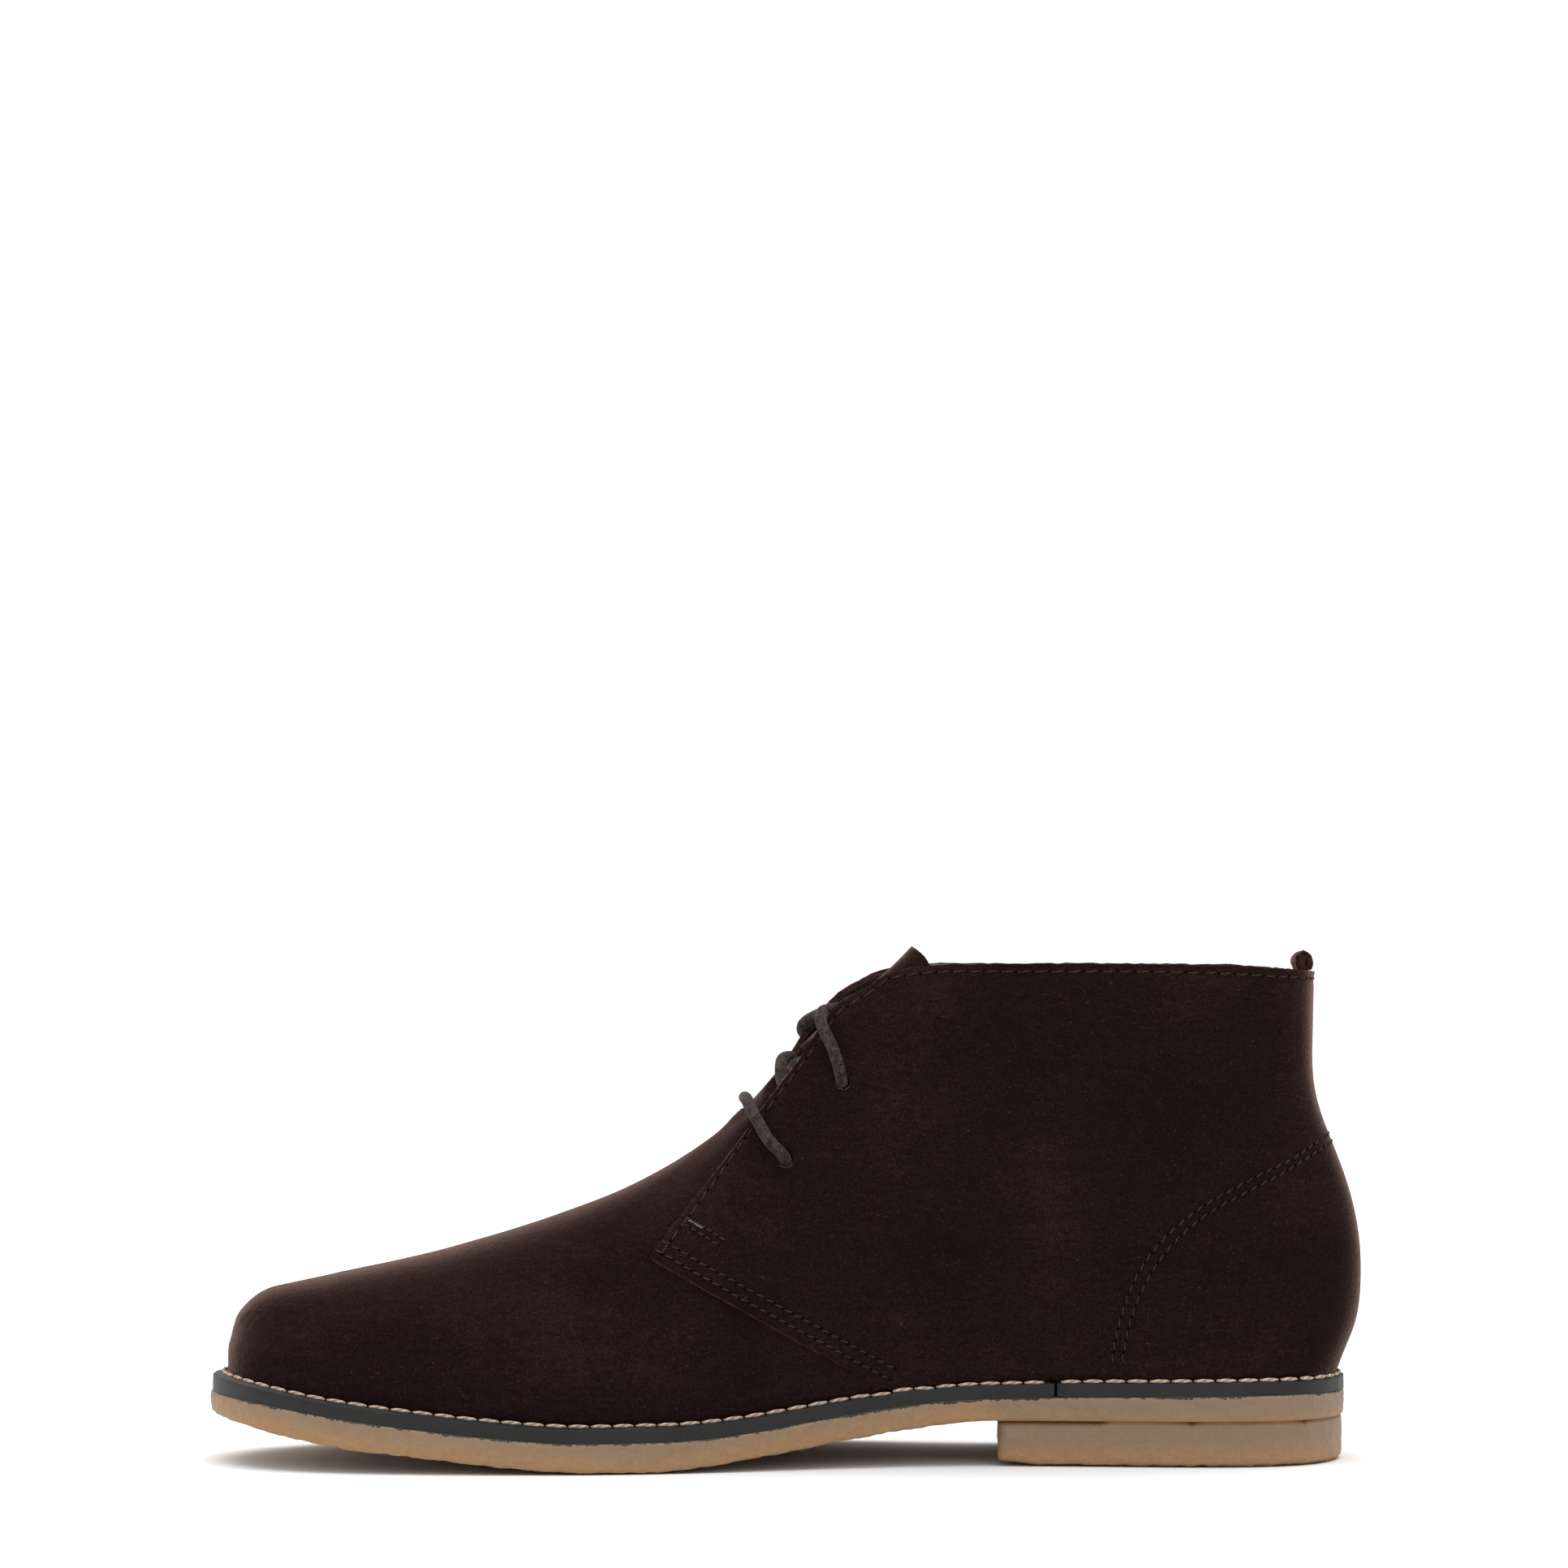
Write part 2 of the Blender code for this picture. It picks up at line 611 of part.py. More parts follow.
def make_welt(material):
    """Welt strip round the boot, with its butt joint on the inner side."""
    joint_x = along_to_x(WELT_JOINT_ALONG)
    plain = ring(0.0, 0.0, welt_top)
    start = next(i for i, point in enumerate(plain) if point.x > joint_x + WELT_THICKNESS)

    def welt_ring(inset, ledges, height):
        points = ring(inset, ledges, height)
        open_line = points[start:] + points[:start]
        line = inset_side(INNER, FEATHER_SAMPLES, inset, ledges)
        xs = [point[0] for point in line]
        ys = [point[1] for point in line]
        ends = []
        for side in (1.0, -1.0):
            x = joint_x + side * WELT_JOINT_GAP / 2.0
            ends.append(Vector((x, float(np.interp(x, xs, ys)), height(x))))
        return [ends[0]] + open_line + [ends[1]]

    def low(x):
        return gum_top(x) + SEAT_GAP

    edge = WELT_EDGE_ROUND
    sections = [
        welt_ring(WELT_TUCK, 1.0, low),
        welt_ring(WELT_SET_IN, 0.0, low),
        welt_ring(WELT_SET_IN, 0.0, lambda x: welt_top(x) - edge),
        welt_ring(WELT_SET_IN + 0.3 * edge, 0.0, lambda x: welt_top(x) - 0.3 * edge),
        welt_ring(WELT_SET_IN + edge, 0.0, welt_top),
        welt_ring(WELT_TUCK, 1.0, welt_top),
    ]
    builder = bmesh.new()
    made = [add_ring(builder, points) for points in sections]
    for first, second in zip(made, made[1:] + made[:1]):
        join_rings(builder, first, second, closed=False)
    builder.faces.new([line[0] for line in made])
    builder.faces.new([line[-1] for line in made])
    bmesh.ops.recalc_face_normals(builder, faces=builder.faces)
    return new_object("welt", builder, material)


def rib_column(name):
    """Number of the column that a main rib stands on."""
    total = 0
    for rib in RIBS:
        total += rib.columns
        if rib.name == name:
            return total


VAMP_TOP = rib_column("vamp_top")
SEAM = rib_column("seam")
THROAT = rib_column("throat")
COLUMNS = rib_column("back")


def rib_station(along):
    """Station for a place along the sole, kept between the ends of the feather line."""
    return min(BACK_X, max(TIP_X, along_to_x(along)))


def grid_place(side, col, row):
    """Station and height of one point of the upper's grid."""
    passed = 0
    for before, after in zip(RIBS, RIBS[1:]):
        if col <= passed + after.columns:
            break
        passed += after.columns
    share = (col - passed) / after.columns

    def between(name):
        ends = rib_station(getattr(before, name)), rib_station(getattr(after, name))
        return mix_round(side, *ends, share)

    foot, belly = between("foot"), between("belly")
    crown_share = 1.0 - (1.0 - share) ** 1.35 if after.name == "back" else share
    crown = rib_station(before.crown) * (1.0 - crown_share) + rib_station(after.crown) * crown_share
    belly_z = COLLAR_HEIGHT * (before.belly_height * (1.0 - share) + after.belly_height * share)
    foot_z = feather(foot)
    if col <= VAMP_TOP:
        crown_z = RIDGE_LINE(crown)
    elif col < SEAM:
        part = (col - VAMP_TOP) / (SEAM - VAMP_TOP)
        seam_z = facing_edge(side, 0.0)[1]
        crown_z = RIDGE_LINE(rib_station(RIBS[1].crown)) * (1.0 - part) + seam_z * part
    elif col < THROAT:
        crown, crown_z = facing_edge(side, (col - SEAM) / (THROAT - SEAM))
    else:
        crown_z = collar_edge(side, crown)

    def level(station, z):
        low = feather(station)
        lift = min(1.0, max(0.0, (z - low) / (RIDGE_LINE(station) - low)))
        return math.asin(min(1.0, lift ** (SQUARE(station) / 2.0)))

    if row <= BELLY_ROW:
        part = row / BELLY_ROW
        ends = (foot, foot_z), (belly, belly_z)
    else:
        part = (row - BELLY_ROW) / (ROWS - BELLY_ROW)
        ends = (belly, belly_z), (crown, crown_z)
    (first, first_z), (second, second_z) = ends
    station = first * (1.0 - part) + second * part
    straight_z = first_z * (1.0 - part) + second_z * part
    if col >= SEAM or row <= BELLY_ROW:
        return station, straight_z
    angle = level(first, first_z) * (1.0 - part) + level(second, second_z) * part
    low = feather(station)
    round_z = low + (RIDGE_LINE(station) - low) * math.sin(angle) ** (2.0 / SQUARE(station))
    return station, round_z


def ease_skin(skin):
    """Evens out the skin's small humps: points move only square to the surface."""
    for strength in SKIN_EASINGS:
        skin.normal_update()
        moves = []
        for vert in skin.verts:
            if vert.is_boundary:
                continue
            near = [edge.other_vert(vert).co for edge in vert.link_edges]
            pull = sum(near, Vector()) / len(near) - vert.co
            moves.append((vert, vert.normal * (strength * pull.dot(vert.normal))))
        for vert, move in moves:
            vert.co += move
    skin.normal_update()


def make_upper(material):
    """Vamp and quarters as one hollow wall: the quarters lie a step above the vamp."""

    def key(side, col, row):
        shared = col in (0, COLUMNS) or (row == ROWS and col <= VAMP_TOP)
        return (INNER if shared else side, col, row)

    def cells():
        for side in SIDES:
            for col in range(COLUMNS):
                for row in range(ROWS):
                    corners = [(side, col, row), (side, col + 1, row)]
                    corners += [(side, col + 1, row + 1), (side, col, row + 1)]
                    yield corners if side == INNER else corners[::-1]

    places = {}
    skin = bmesh.new()
    for side in SIDES:
        for col in range(COLUMNS + 1):
            for row in range(ROWS + 1):
                name = key(side, col, row)
                if name not in places:
                    station, z = grid_place(side, col, row)
                    places[name] = skin.verts.new(last_point(side, station, z))
    for corners in cells():
        verts = []
        for corner in corners:
            vert = places[key(*corner)]
            if vert not in verts:
                verts.append(vert)
        skin.faces.new(verts)
    ease_skin(skin)
    normals = {}
    for name, vert in places.items():
        normal = vert.normal.copy()
        if name[2] == 0:
            normal.z = 0.0
            normal.normalize()
        normals[name] = normal

    def in_flap(col, row):
        return SEAM < col <= THROAT + 1 and row > ROWS - FLAP_ROWS

    def lifts(col, row):
        """How far the outer and inner faces stand off the last, behind the seam."""
        outer = QUARTER_STEP * (1.0 - smoothstep((col - SEAM) / SEAM_FADE_COLUMNS))
        inner = -WALL
        if in_flap(col, row):
            inner = TONGUE_GAP
        flap = smoothstep((row - (ROWS - FLAP_ROWS - 1)) / 2.0) if col > SEAM else 0.0
        flap *= 1.0 - smoothstep((col - THROAT - 1) / 3.0)
        outer = max(outer, flap * (TONGUE_GAP + FLAP_WALL))
        return outer, inner

    builder = bmesh.new()
    vamp, quarter, lining = {}, {}, {}
    for name, vert in places.items():
        side, col, row = name
        place, normal = vert.co, normals[name]
        if col <= SEAM:
            vamp[name] = builder.verts.new(place)
        outer, inner = lifts(col, row)
        if col >= SEAM:
            quarter[name] = builder.verts.new(place + normal * outer)
        inward = normal * (-WALL if col <= SEAM else inner)
        lining[name] = builder.verts.new(place + inward)
    skin.free()

    def face(*verts):
        kept = list(dict.fromkeys(verts))
        if len(kept) > 2:
            builder.faces.new(kept)

    for corners in cells():
        names = [key(*corner) for corner in corners]
        outside = vamp if min(corner[1] for corner in corners) < SEAM else quarter
        face(*(outside[name] for name in names))
        face(*(lining[name] for name in reversed(names)))
    for side in SIDES:
        for row in range(ROWS):
            first, second = key(side, SEAM, row), key(side, SEAM, row + 1)
            face(vamp[first], quarter[first], quarter[second], vamp[second])
        for row in (0, ROWS):
            seam, behind = key(side, SEAM, row), key(side, SEAM + 1, row)
            face(vamp[seam], quarter[seam], quarter[behind])
            for col in range(0 if row == 0 else VAMP_TOP, COLUMNS):
                first, second = key(side, col, row), key(side, col + 1, row)
                near = vamp[first] if col <= SEAM else quarter[first]
                far = vamp[second] if col < SEAM else quarter[second]
                face(near, far, lining[second], lining[first])
    bmesh.ops.recalc_face_normals(builder, faces=builder.faces)
    return new_object("upper", builder, material)


def on_last(side, x, z, off):
    """Point that stands a given distance off the last, between toe and heel roundings."""
    nudge = PROBE_STEP
    place = last_point(side, x, z)
    along = last_point(side, x + nudge, z) - last_point(side, x - nudge, z)
    upward = last_point(side, x, z + nudge) - last_point(side, x, z - nudge)
    normal = along.cross(upward).normalized() * -side
    return place + normal * off


def across_ridge(x, y):
    """Point of the last beside the ridge point at x, square to the ridge, at a given y."""
    side = INNER if y < SWING(x) * BALL_WIDTH else OUTER
    ridge = Vector((x, 0.0, RIDGE_LINE(x)))
    nudge = 2.0 * PROBE_STEP
    slope = (RIDGE_LINE(x + nudge) - RIDGE_LINE(x - nudge)) / (2.0 * nudge)
    inward = Vector((slope, 0.0, -1.0)).normalized()
    low, high = 0.0, RIDGE_LINE(x) - feather(x)
    for _ in range(30):
        depth = (low + high) / 2.0
        place = ridge + inward * depth
        if side * last_point(side, place.x, place.z).y < side * y:
            low = depth
        else:
            high = depth
    return last_point(side, place.x, place.z)


def off_ridge(x, y, off):
    """Point that stands off the last beside the ridge point at x."""
    nudge = 2.0 * PROBE_STEP
    along = across_ridge(x + nudge, y) - across_ridge(x - nudge, y)
    across = across_ridge(x, y + nudge) - across_ridge(x, y - nudge)
    return across_ridge(x, y) + along.cross(across).normalized() * off


def make_tongue(material):
    """Suede tongue: it runs on from the vamp, passes under the flaps and stands at the collar."""
    base_x = along_to_x(RIBS[1].crown) + TONGUE_FOOT_GAP
    tip_x = along_to_x(TONGUE_TIP_ALONG)
    inner, outer, sinks = (
        Track(column(TONGUE_ROWS, "along"), column(TONGUE_ROWS, name)) for name in ("inner", "outer", "sink")
    )
    strips, halves = 14, 6
    skin = bmesh.new()
    grid = []
    for index in range(strips + 1):
        line = []
        for step in range(-halves, halves + 1):
            across = step / halves
            share = index / strips
            fall = 0.16 * abs(across) ** 2.4 * share
            share -= fall
            x = base_x + (tip_x - base_x) * share
            middle = SWING(x) * BALL_WIDTH
            spread = inner(share) if across < 0.0 else outer(share)
            breadth = middle + across * TONGUE_HALF_WIDTH * spread
            line.append((skin.verts.new(across_ridge(x, breadth)), sinks(share)))
        grid.append(line)
    for first, second in zip(grid, grid[1:]):
        for left, right in zip(range(2 * halves), range(1, 2 * halves + 1)):
            skin.faces.new((first[left][0], second[left][0], second[right][0], first[right][0]))
    skin.normal_update()
    builder = bmesh.new()
    top, under = [], []
    for line in grid:
        top.append([])
        under.append([])
        for vert, sink in line:
            normal = vert.normal.copy()
            if normal.z - normal.x < 0.0:
                normal.negate()
            depth = -sink * TONGUE_SINK
            top[-1].append(builder.verts.new(vert.co + normal * depth))
            under[-1].append(builder.verts.new(vert.co + normal * (depth - TONGUE_WALL)))
    skin.free()
    rows, columns = len(grid) - 1, 2 * halves
    for i in range(rows):
        for j in range(columns):
            builder.faces.new((top[i][j], top[i + 1][j], top[i + 1][j + 1], top[i][j + 1]))
            builder.faces.new((under[i][j], under[i][j + 1], under[i + 1][j + 1], under[i + 1][j]))
    for i in range(rows):
        for j in (0, columns):
            builder.faces.new((top[i][j], top[i + 1][j], under[i + 1][j], under[i][j]))
    for j in range(columns):
        for i in (0, rows):
            builder.faces.new((top[i][j], top[i][j + 1], under[i][j + 1], under[i][j]))
    bmesh.ops.recalc_face_normals(builder, faces=builder.faces)
    return new_object("tongue", builder, material)


def lace_place(side, hole, row):
    """Point of a lace route: its breadth runs from the ridge line to the hole's own breadth."""
    x = along_to_x(row.along)
    hole_y = last_point(side, along_to_x(hole.along), COLLAR_HEIGHT * hole.height).y
    breadth = side * (SWING(x) * BALL_WIDTH * (1.0 - row.breadth) + hole_y * row.breadth)
    z = height_at(side, x, breadth)
    return on_last(side, x, z, row.off * 2.0 * LACE_RADIUS)


def smooth_path(places, count):
    """A curve through route points, read at evenly spaced distances."""
    travel = [0.0]
    for before, after in zip(places, places[1:]):
        travel.append(travel[-1] + (after - before).length)
    axes = [Track(travel, [place[axis] for place in places], level=False) for axis in range(3)]
    fine = [Vector(axis(travel[-1] * i / 400.0) for axis in axes) for i in range(401)]
    paces = np.cumsum([0.0] + [(b - a).length for a, b in zip(fine, fine[1:])])
    wanted = np.linspace(0.0, paces[-1], count)
    lines = [np.interp(wanted, paces, [place[axis] for place in fine]) for axis in range(3)]
    return [Vector(place) for place in zip(*lines)]


def tube_rings(path, radius, sides):
    """Rings square to a path, turned as little as possible from one to the next."""
    rings = []
    across = None
    for index, place in enumerate(path):
        ahead = path[min(index + 1, len(path) - 1)] - path[max(index - 1, 0)]
        ahead.normalize()
        if across is None:
            across = ahead.orthogonal().normalized()
        across = (across - ahead * across.dot(ahead)).normalized()
        up = ahead.cross(across)
        points = []
        for step in range(sides):
            angle = math.tau * step / sides
            points.append(place + (across * math.cos(angle) + up * math.sin(angle)) * radius)
        rings.append(points)
    return rings


def make_tube(name, path, radius, sides, material):
    builder = bmesh.new()
    made = [add_ring(builder, points) for points in tube_rings(path, radius, sides)]
    for lower, upper in zip(made, made[1:]):
        join_rings(builder, lower, upper)
    builder.faces.new(made[0])
    builder.faces.new(made[-1])
    bmesh.ops.recalc_face_normals(builder, faces=builder.faces)
    return new_object(name, builder, material)


def add_boolean(body, tool, operation):
    """Keeps the tool out of sight, and lets it cut the body or join it."""
    tool.hide_render = True
    tool.display_type = "WIRE"
    change = body.modifiers.new(tool.name, "BOOLEAN")
    change.operation = operation
    change.solver = "EXACT"
    change.object = tool


def cut_lace_holes(upper, material):
    for number, hole in enumerate((LOWER_HOLE, UPPER_HOLE)):
        for side in SIDES:
            x, z = along_to_x(hole.along), COLLAR_HEIGHT * hole.height
            reach = WALL + QUARTER_STEP
            path = [on_last(side, x, z, off) for off in (-reach, 2.0 * reach)]
            name = "hole_{}_{}".format(number, "inner" if side == INNER else "outer")
            add_boolean(upper, make_tube(name, path, HOLE_RADIUS, 16, material), "DIFFERENCE")


def make_lace_bar(material):
    """Lace across the front, from the outer lower hole over the vamp's end to the inner one."""
    halves = [[lace_place(side, LOWER_HOLE, row) for row in BAR_ROUTE] for side in SIDES]
    places = halves[0] + halves[1][-2::-1]
    return make_tube("lace_bar", smooth_path(places, 40), LACE_RADIUS, 10, material)


def make_lace_cross(material):
    """The two strands that cross over the tongue, between the edges of the flaps."""
    middle_x = RIDGE_BY_HEIGHT(COLLAR_HEIGHT * CROSS_HEIGHT)
    vamp_x, collar_x = (along_to_x(rib.crown) for rib in RIBS[2:4])
    strands = []
    for low_side in SIDES:
        places = []
        for share in (-1.0, -0.5, 0.0, 0.5, 1.0):
            side = low_side if share < 0.0 else -low_side
            ridge_x = middle_x + CROSS_REACH * share / 2.0
            middle = SWING(ridge_x) * BALL_WIDTH
            x, y = ridge_x, middle
            for _ in range(4 if abs(share) > 0.0 else 0):
                _, edge_z = facing_edge(side, (x - vamp_x) / (collar_x - vamp_x))
                edge = last_point(side, x, edge_z).y - side * (SEAT_GAP + LACE_RADIUS)
                y = middle + (edge - middle) * abs(share)
                x = across_ridge(ridge_x, y).x
            places.append(off_ridge(ridge_x, y, CROSS_OFF * 2.0 * LACE_RADIUS))
        name = "lace_cross" if low_side == INNER else "second_strand"
        strands.append(make_tube(name, smooth_path(places, 14), LACE_RADIUS, 10, material))
    add_boolean(*strands, "UNION")


def make_lace_end(name, side, route, material):
    """Lace end from an upper hole, up over the flap's edge and tucked into the throat."""
    curve = bpy.data.curves.new(name, "CURVE")
    curve.dimensions = "3D"
    curve.bevel_depth = LACE_RADIUS
    curve.bevel_resolution = 2
    curve.use_fill_caps = True
    path = smooth_path([lace_place(side, UPPER_HOLE, row) for row in route], 20)
    spline = curve.splines.new("POLY")
    spline.points.add(len(path) - 1)
    for point, place in zip(spline.points, path):
        point.co = (*place, 1.0)
    curve.materials.append(material)
    made = bpy.data.objects.new(name, curve)
    bpy.context.scene.collection.objects.link(made)
    return made


def make_pull_loop(material):
    """Strip folded over at the back of the collar: one leg inside the wall, one on the rim."""
    rim_z = collar_edge(INNER, BACK_X)
    half = LOOP_THICKNESS / 2.0
    wall_x = BACK_LINE(rim_z) - WALL
    leg_x = wall_x - SEAT_GAP - COLLAR_BEND - half
    back_x = wall_x + half
    front_x = back_x + half - LOOP_DEPTH + half
    top_z = rim_z + SEAT_GAP + LOOP_HEIGHT
    waist_z = rim_z + LOOP_HEIGHT * 0.48
    line = [
        Vector((leg_x - LOOP_THICKNESS, 0.0, rim_z - LOOP_HEIGHT)),
        Vector((leg_x - half, 0.0, rim_z - LOOP_HEIGHT * 0.20)),
        Vector((front_x, 0.0, waist_z)),
        Vector(((front_x + back_x) / 2.0, 0.0, top_z - half)),
        Vector((back_x, 0.0, waist_z)),
        Vector((back_x - 0.3 * half, 0.0, rim_z + SEAT_GAP)),
    ]
    path = smooth_path(line, 16)
    builder = bmesh.new()
    made = []
    for index, place in enumerate(path):
        ahead = path[min(index + 1, len(path) - 1)] - path[max(index - 1, 0)]
        if index == len(path) - 1:
            ahead = Vector((0.0, 0.0, -1.0))
        across = Vector((ahead.z, 0.0, -ahead.x)).normalized() * half
        wide = Vector((0.0, LOOP_WIDTH / 2.0, 0.0))
        corners = (place + across + wide, place + across - wide, place - across - wide, place - across + wide)
        made.append(add_ring(builder, corners))
    for lower, upper in zip(made, made[1:]):
        join_rings(builder, lower, upper)
    builder.faces.new(made[0])
    builder.faces.new(made[-1])
    bmesh.ops.recalc_face_normals(builder, faces=builder.faces)
    return new_object("pull_loop", builder, material)


for old in list(bpy.data.objects):
    bpy.data.objects.remove(old, do_unlink=True)

suede = finish("brown_suede", (0.030, 0.017, 0.014), 0.95)
gum = finish("gum_rubber", (0.30, 0.19, 0.11), 0.45)
charcoal = finish("charcoal_welt", (0.033, 0.032, 0.030), 0.5)
lining = finish("tan_leather", (0.32, 0.19, 0.10), 0.7)
cotton = finish("waxed_cotton", (0.040, 0.032, 0.029), 0.8)

make_outsole(gum)
make_heel(gum)
make_welt(charcoal)
make_insole(lining)
cut_lace_holes(make_upper(suede), suede)
make_tongue(suede)
make_pull_loop(suede)
make_lace_bar(cotton)
make_lace_cross(cotton)
make_lace_end("lace_end_inner", INNER, INNER_END_ROUTE, cotton)
make_lace_end("lace_end_outer", OUTER, OUTER_END_ROUTE, cotton)
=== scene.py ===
import functools
import math

import bmesh
import bpy
from mathutils import Matrix, Vector, noise
from mathutils.bvhtree import BVHTree
from mathutils.geometry import interpolate_bezier
from mathutils.kdtree import KDTree


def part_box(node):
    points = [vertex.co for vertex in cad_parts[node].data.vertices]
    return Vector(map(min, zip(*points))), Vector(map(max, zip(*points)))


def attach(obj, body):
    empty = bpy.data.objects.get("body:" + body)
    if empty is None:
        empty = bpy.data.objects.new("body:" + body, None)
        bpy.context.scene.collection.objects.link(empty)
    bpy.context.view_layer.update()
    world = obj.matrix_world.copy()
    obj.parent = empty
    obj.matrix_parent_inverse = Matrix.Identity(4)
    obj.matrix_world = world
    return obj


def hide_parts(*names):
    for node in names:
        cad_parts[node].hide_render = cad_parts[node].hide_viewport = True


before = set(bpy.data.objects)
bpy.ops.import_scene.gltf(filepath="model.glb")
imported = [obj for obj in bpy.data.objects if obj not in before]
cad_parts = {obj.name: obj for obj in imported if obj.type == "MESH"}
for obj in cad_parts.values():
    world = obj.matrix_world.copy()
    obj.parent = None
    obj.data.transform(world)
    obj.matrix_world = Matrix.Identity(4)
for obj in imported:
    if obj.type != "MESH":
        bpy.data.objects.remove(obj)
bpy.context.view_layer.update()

# Camera
# A long lens square to the inner side of the boot, at the height of the collar.
camera_data = bpy.data.cameras.new("camera")
camera_data.sensor_width = 36.0
camera_data.lens = 108.54
camera = bpy.data.objects.new("camera", camera_data)
bpy.context.scene.collection.objects.link(camera)
camera.location = (-0.001, -1.25, 0.12)
camera.rotation_euler = (math.radians(92.6), 0.0, 0.0)
bpy.context.scene.camera = camera

# Vamp and quarters
# Thick chrome-tanned suede, dyed through: the vamp is lasted first, and the two quarters lie over
# it with their raw edges showing. The quarters are lined with smooth tan leather, painted dark inside
# as shade.
INNER = -1.0
OUTER = 1.0
SIDES = (INNER, OUTER)
CUT_EDGE_ANGLE = math.radians(50.0)
SMOOTH_ANGLE = math.radians(42.0)
MERGE_STEP = 2e-6
STRAY_STEP = 0.0003
STRAY_FOLD = math.radians(75.0)
PAIR_BEND = math.radians(30.0)
PAIR_SKEW = math.radians(70.0)
SKIN_FOLLOW_ANGLE = math.radians(35.0)
VAMP_SPOT = Vector((-0.100, 0.0, 0.060))
QUARTER_SPOT = Vector((0.152, 0.0, 0.050))
QUARTER_CORNER = {
    INNER: Vector((-0.0354, -0.0387, 0.0536)),
    OUTER: Vector((-0.0354, 0.0377, 0.0536)),
}
QUARTER_FOOT = {
    INNER: Vector((0.0257, -0.0309, 0.0195)),
    OUTER: Vector((0.0257, 0.0400, 0.0195)),
}
FACING_IN = -0.5
LACE_HOLES = (
    ((-0.0007, -0.0280, 0.0783), (-0.11, -0.91, 0.41)),
    ((0.0141, -0.0218, 0.0979), (-0.11, -0.94, 0.32)),
    ((-0.0007, 0.0304, 0.0783), (-0.28, 0.82, 0.49)),
    ((0.0141, 0.0241, 0.0979), (-0.19, 0.89, 0.41)),
)
HOLE_REACH = 0.0029
HOLE_RADIUS = 0.0017
HOLE_DRAWN = Vector((0.0004, 0.0, -0.0001))
TOE_SMOOTH_TO = -0.1180
CURVE_POINTS = 12
MM = 1000.0


class Socket:
    """An output in a material's nodes. Sums written with it add Math nodes."""

    def __init__(self, tree, outlet=None):
        self.tree = tree
        self.outlet = outlet

    def node(self, kind, settings=None, sockets=None, outlet=0):
        """Adds a node: its settings first, then the values and links of its sockets."""
        made = self.tree.nodes.new(kind)
        for name, value in (settings or {}).items():
            if name == "stops":
                made.color_ramp.elements.remove(made.color_ramp.elements[1])
                made.color_ramp.elements[0].position = value[0][0]
                made.color_ramp.elements[0].color = value[0][1]
                for place, colour in value[1:]:
                    made.color_ramp.elements.new(place).color = colour
            else:
                setattr(made, name, value)
        for name, value in (sockets or {}).items():
            if isinstance(value, Socket):
                self.tree.links.new(value.outlet, made.inputs[name])
            else:
                made.inputs[name].default_value = value
        return Socket(self.tree, made.outputs[outlet])

    def maths(self, operation, first, second):
        """Adds a Math node with two inputs."""
        return self.node("ShaderNodeMath", {"operation": operation}, {0: first, 1: second})

    def __add__(self, other):
        return self.maths("ADD", self, other)

    def __radd__(self, other):
        return self.maths("ADD", other, self)

    def __sub__(self, other):
        return self.maths("SUBTRACT", self, other)

    def __rsub__(self, other):
        return self.maths("SUBTRACT", other, self)

    def __mul__(self, other):
        return self.maths("MULTIPLY", self, other)

    def __rmul__(self, other):
        return self.maths("MULTIPLY", other, self)


def colour(red, green, blue):
    """An opaque colour from its linear shares."""
    return (red, green, blue, 1.0)


def start_finish(name, **constants):
    """A new material with its plain settings: its shader and its object coordinates."""
    material = bpy.data.materials.new(name)
    material.use_nodes = True
    shader = material.node_tree.nodes["Principled BSDF"]
    for socket, value in constants.items():
        shader.inputs[socket.replace("_", " ")].default_value = value
    place = Socket(material.node_tree).node("ShaderNodeTexCoord", outlet="Object")
    return material, shader, place


def feed(shader, **links):
    """Joins sockets to the shader's inputs of the same names."""
    for name, link in links.items():
        link.tree.links.new(link.outlet, shader.inputs[name.replace("_", " ")])


def blend(mask, first, second):
    """Colour that goes from the first to the second as the mask goes from 0 to 1."""
    return mask.node("ShaderNodeMix", {"data_type": "RGBA"}, {0: mask, 6: first, 7: second}, 2)


def cloud(place, scale, detail=2.0, roughness=0.5, stretch=(1.0, 1.0, 1.0)):
    """Soft noise about 1/scale metres wide, stretched along the axes with small numbers."""
    if stretch != (1.0, 1.0, 1.0):
        place = place.node("ShaderNodeMapping", {}, {"Vector": place, "Scale": stretch})
    sockets = {"Vector": place, "Scale": scale, "Detail": detail, "Roughness": roughness}
    return place.node("ShaderNodeTexNoise", {}, sockets, "Fac")


def steps(value, low, high):
    """0 below the low value and 1 above the high one, with a soft step between."""
    settings = {"interpolation_type": "SMOOTHSTEP"}
    sockets = {"Value": value, "From Min": low, "From Max": high}
    return value.node("ShaderNodeMapRange", settings, sockets)


def marked(place, name):
    """The value that a piece's points carry under a name."""
    return place.node("ShaderNodeAttribute", {"attribute_name": name}, {}, "Fac")


def relief(height, depth):
    """Bumps as deep as the given number of metres where the height goes from 0 to 1."""
    return height.node("ShaderNodeBump", {}, {"Strength": 1.0, "Distance": depth, "Height": height})


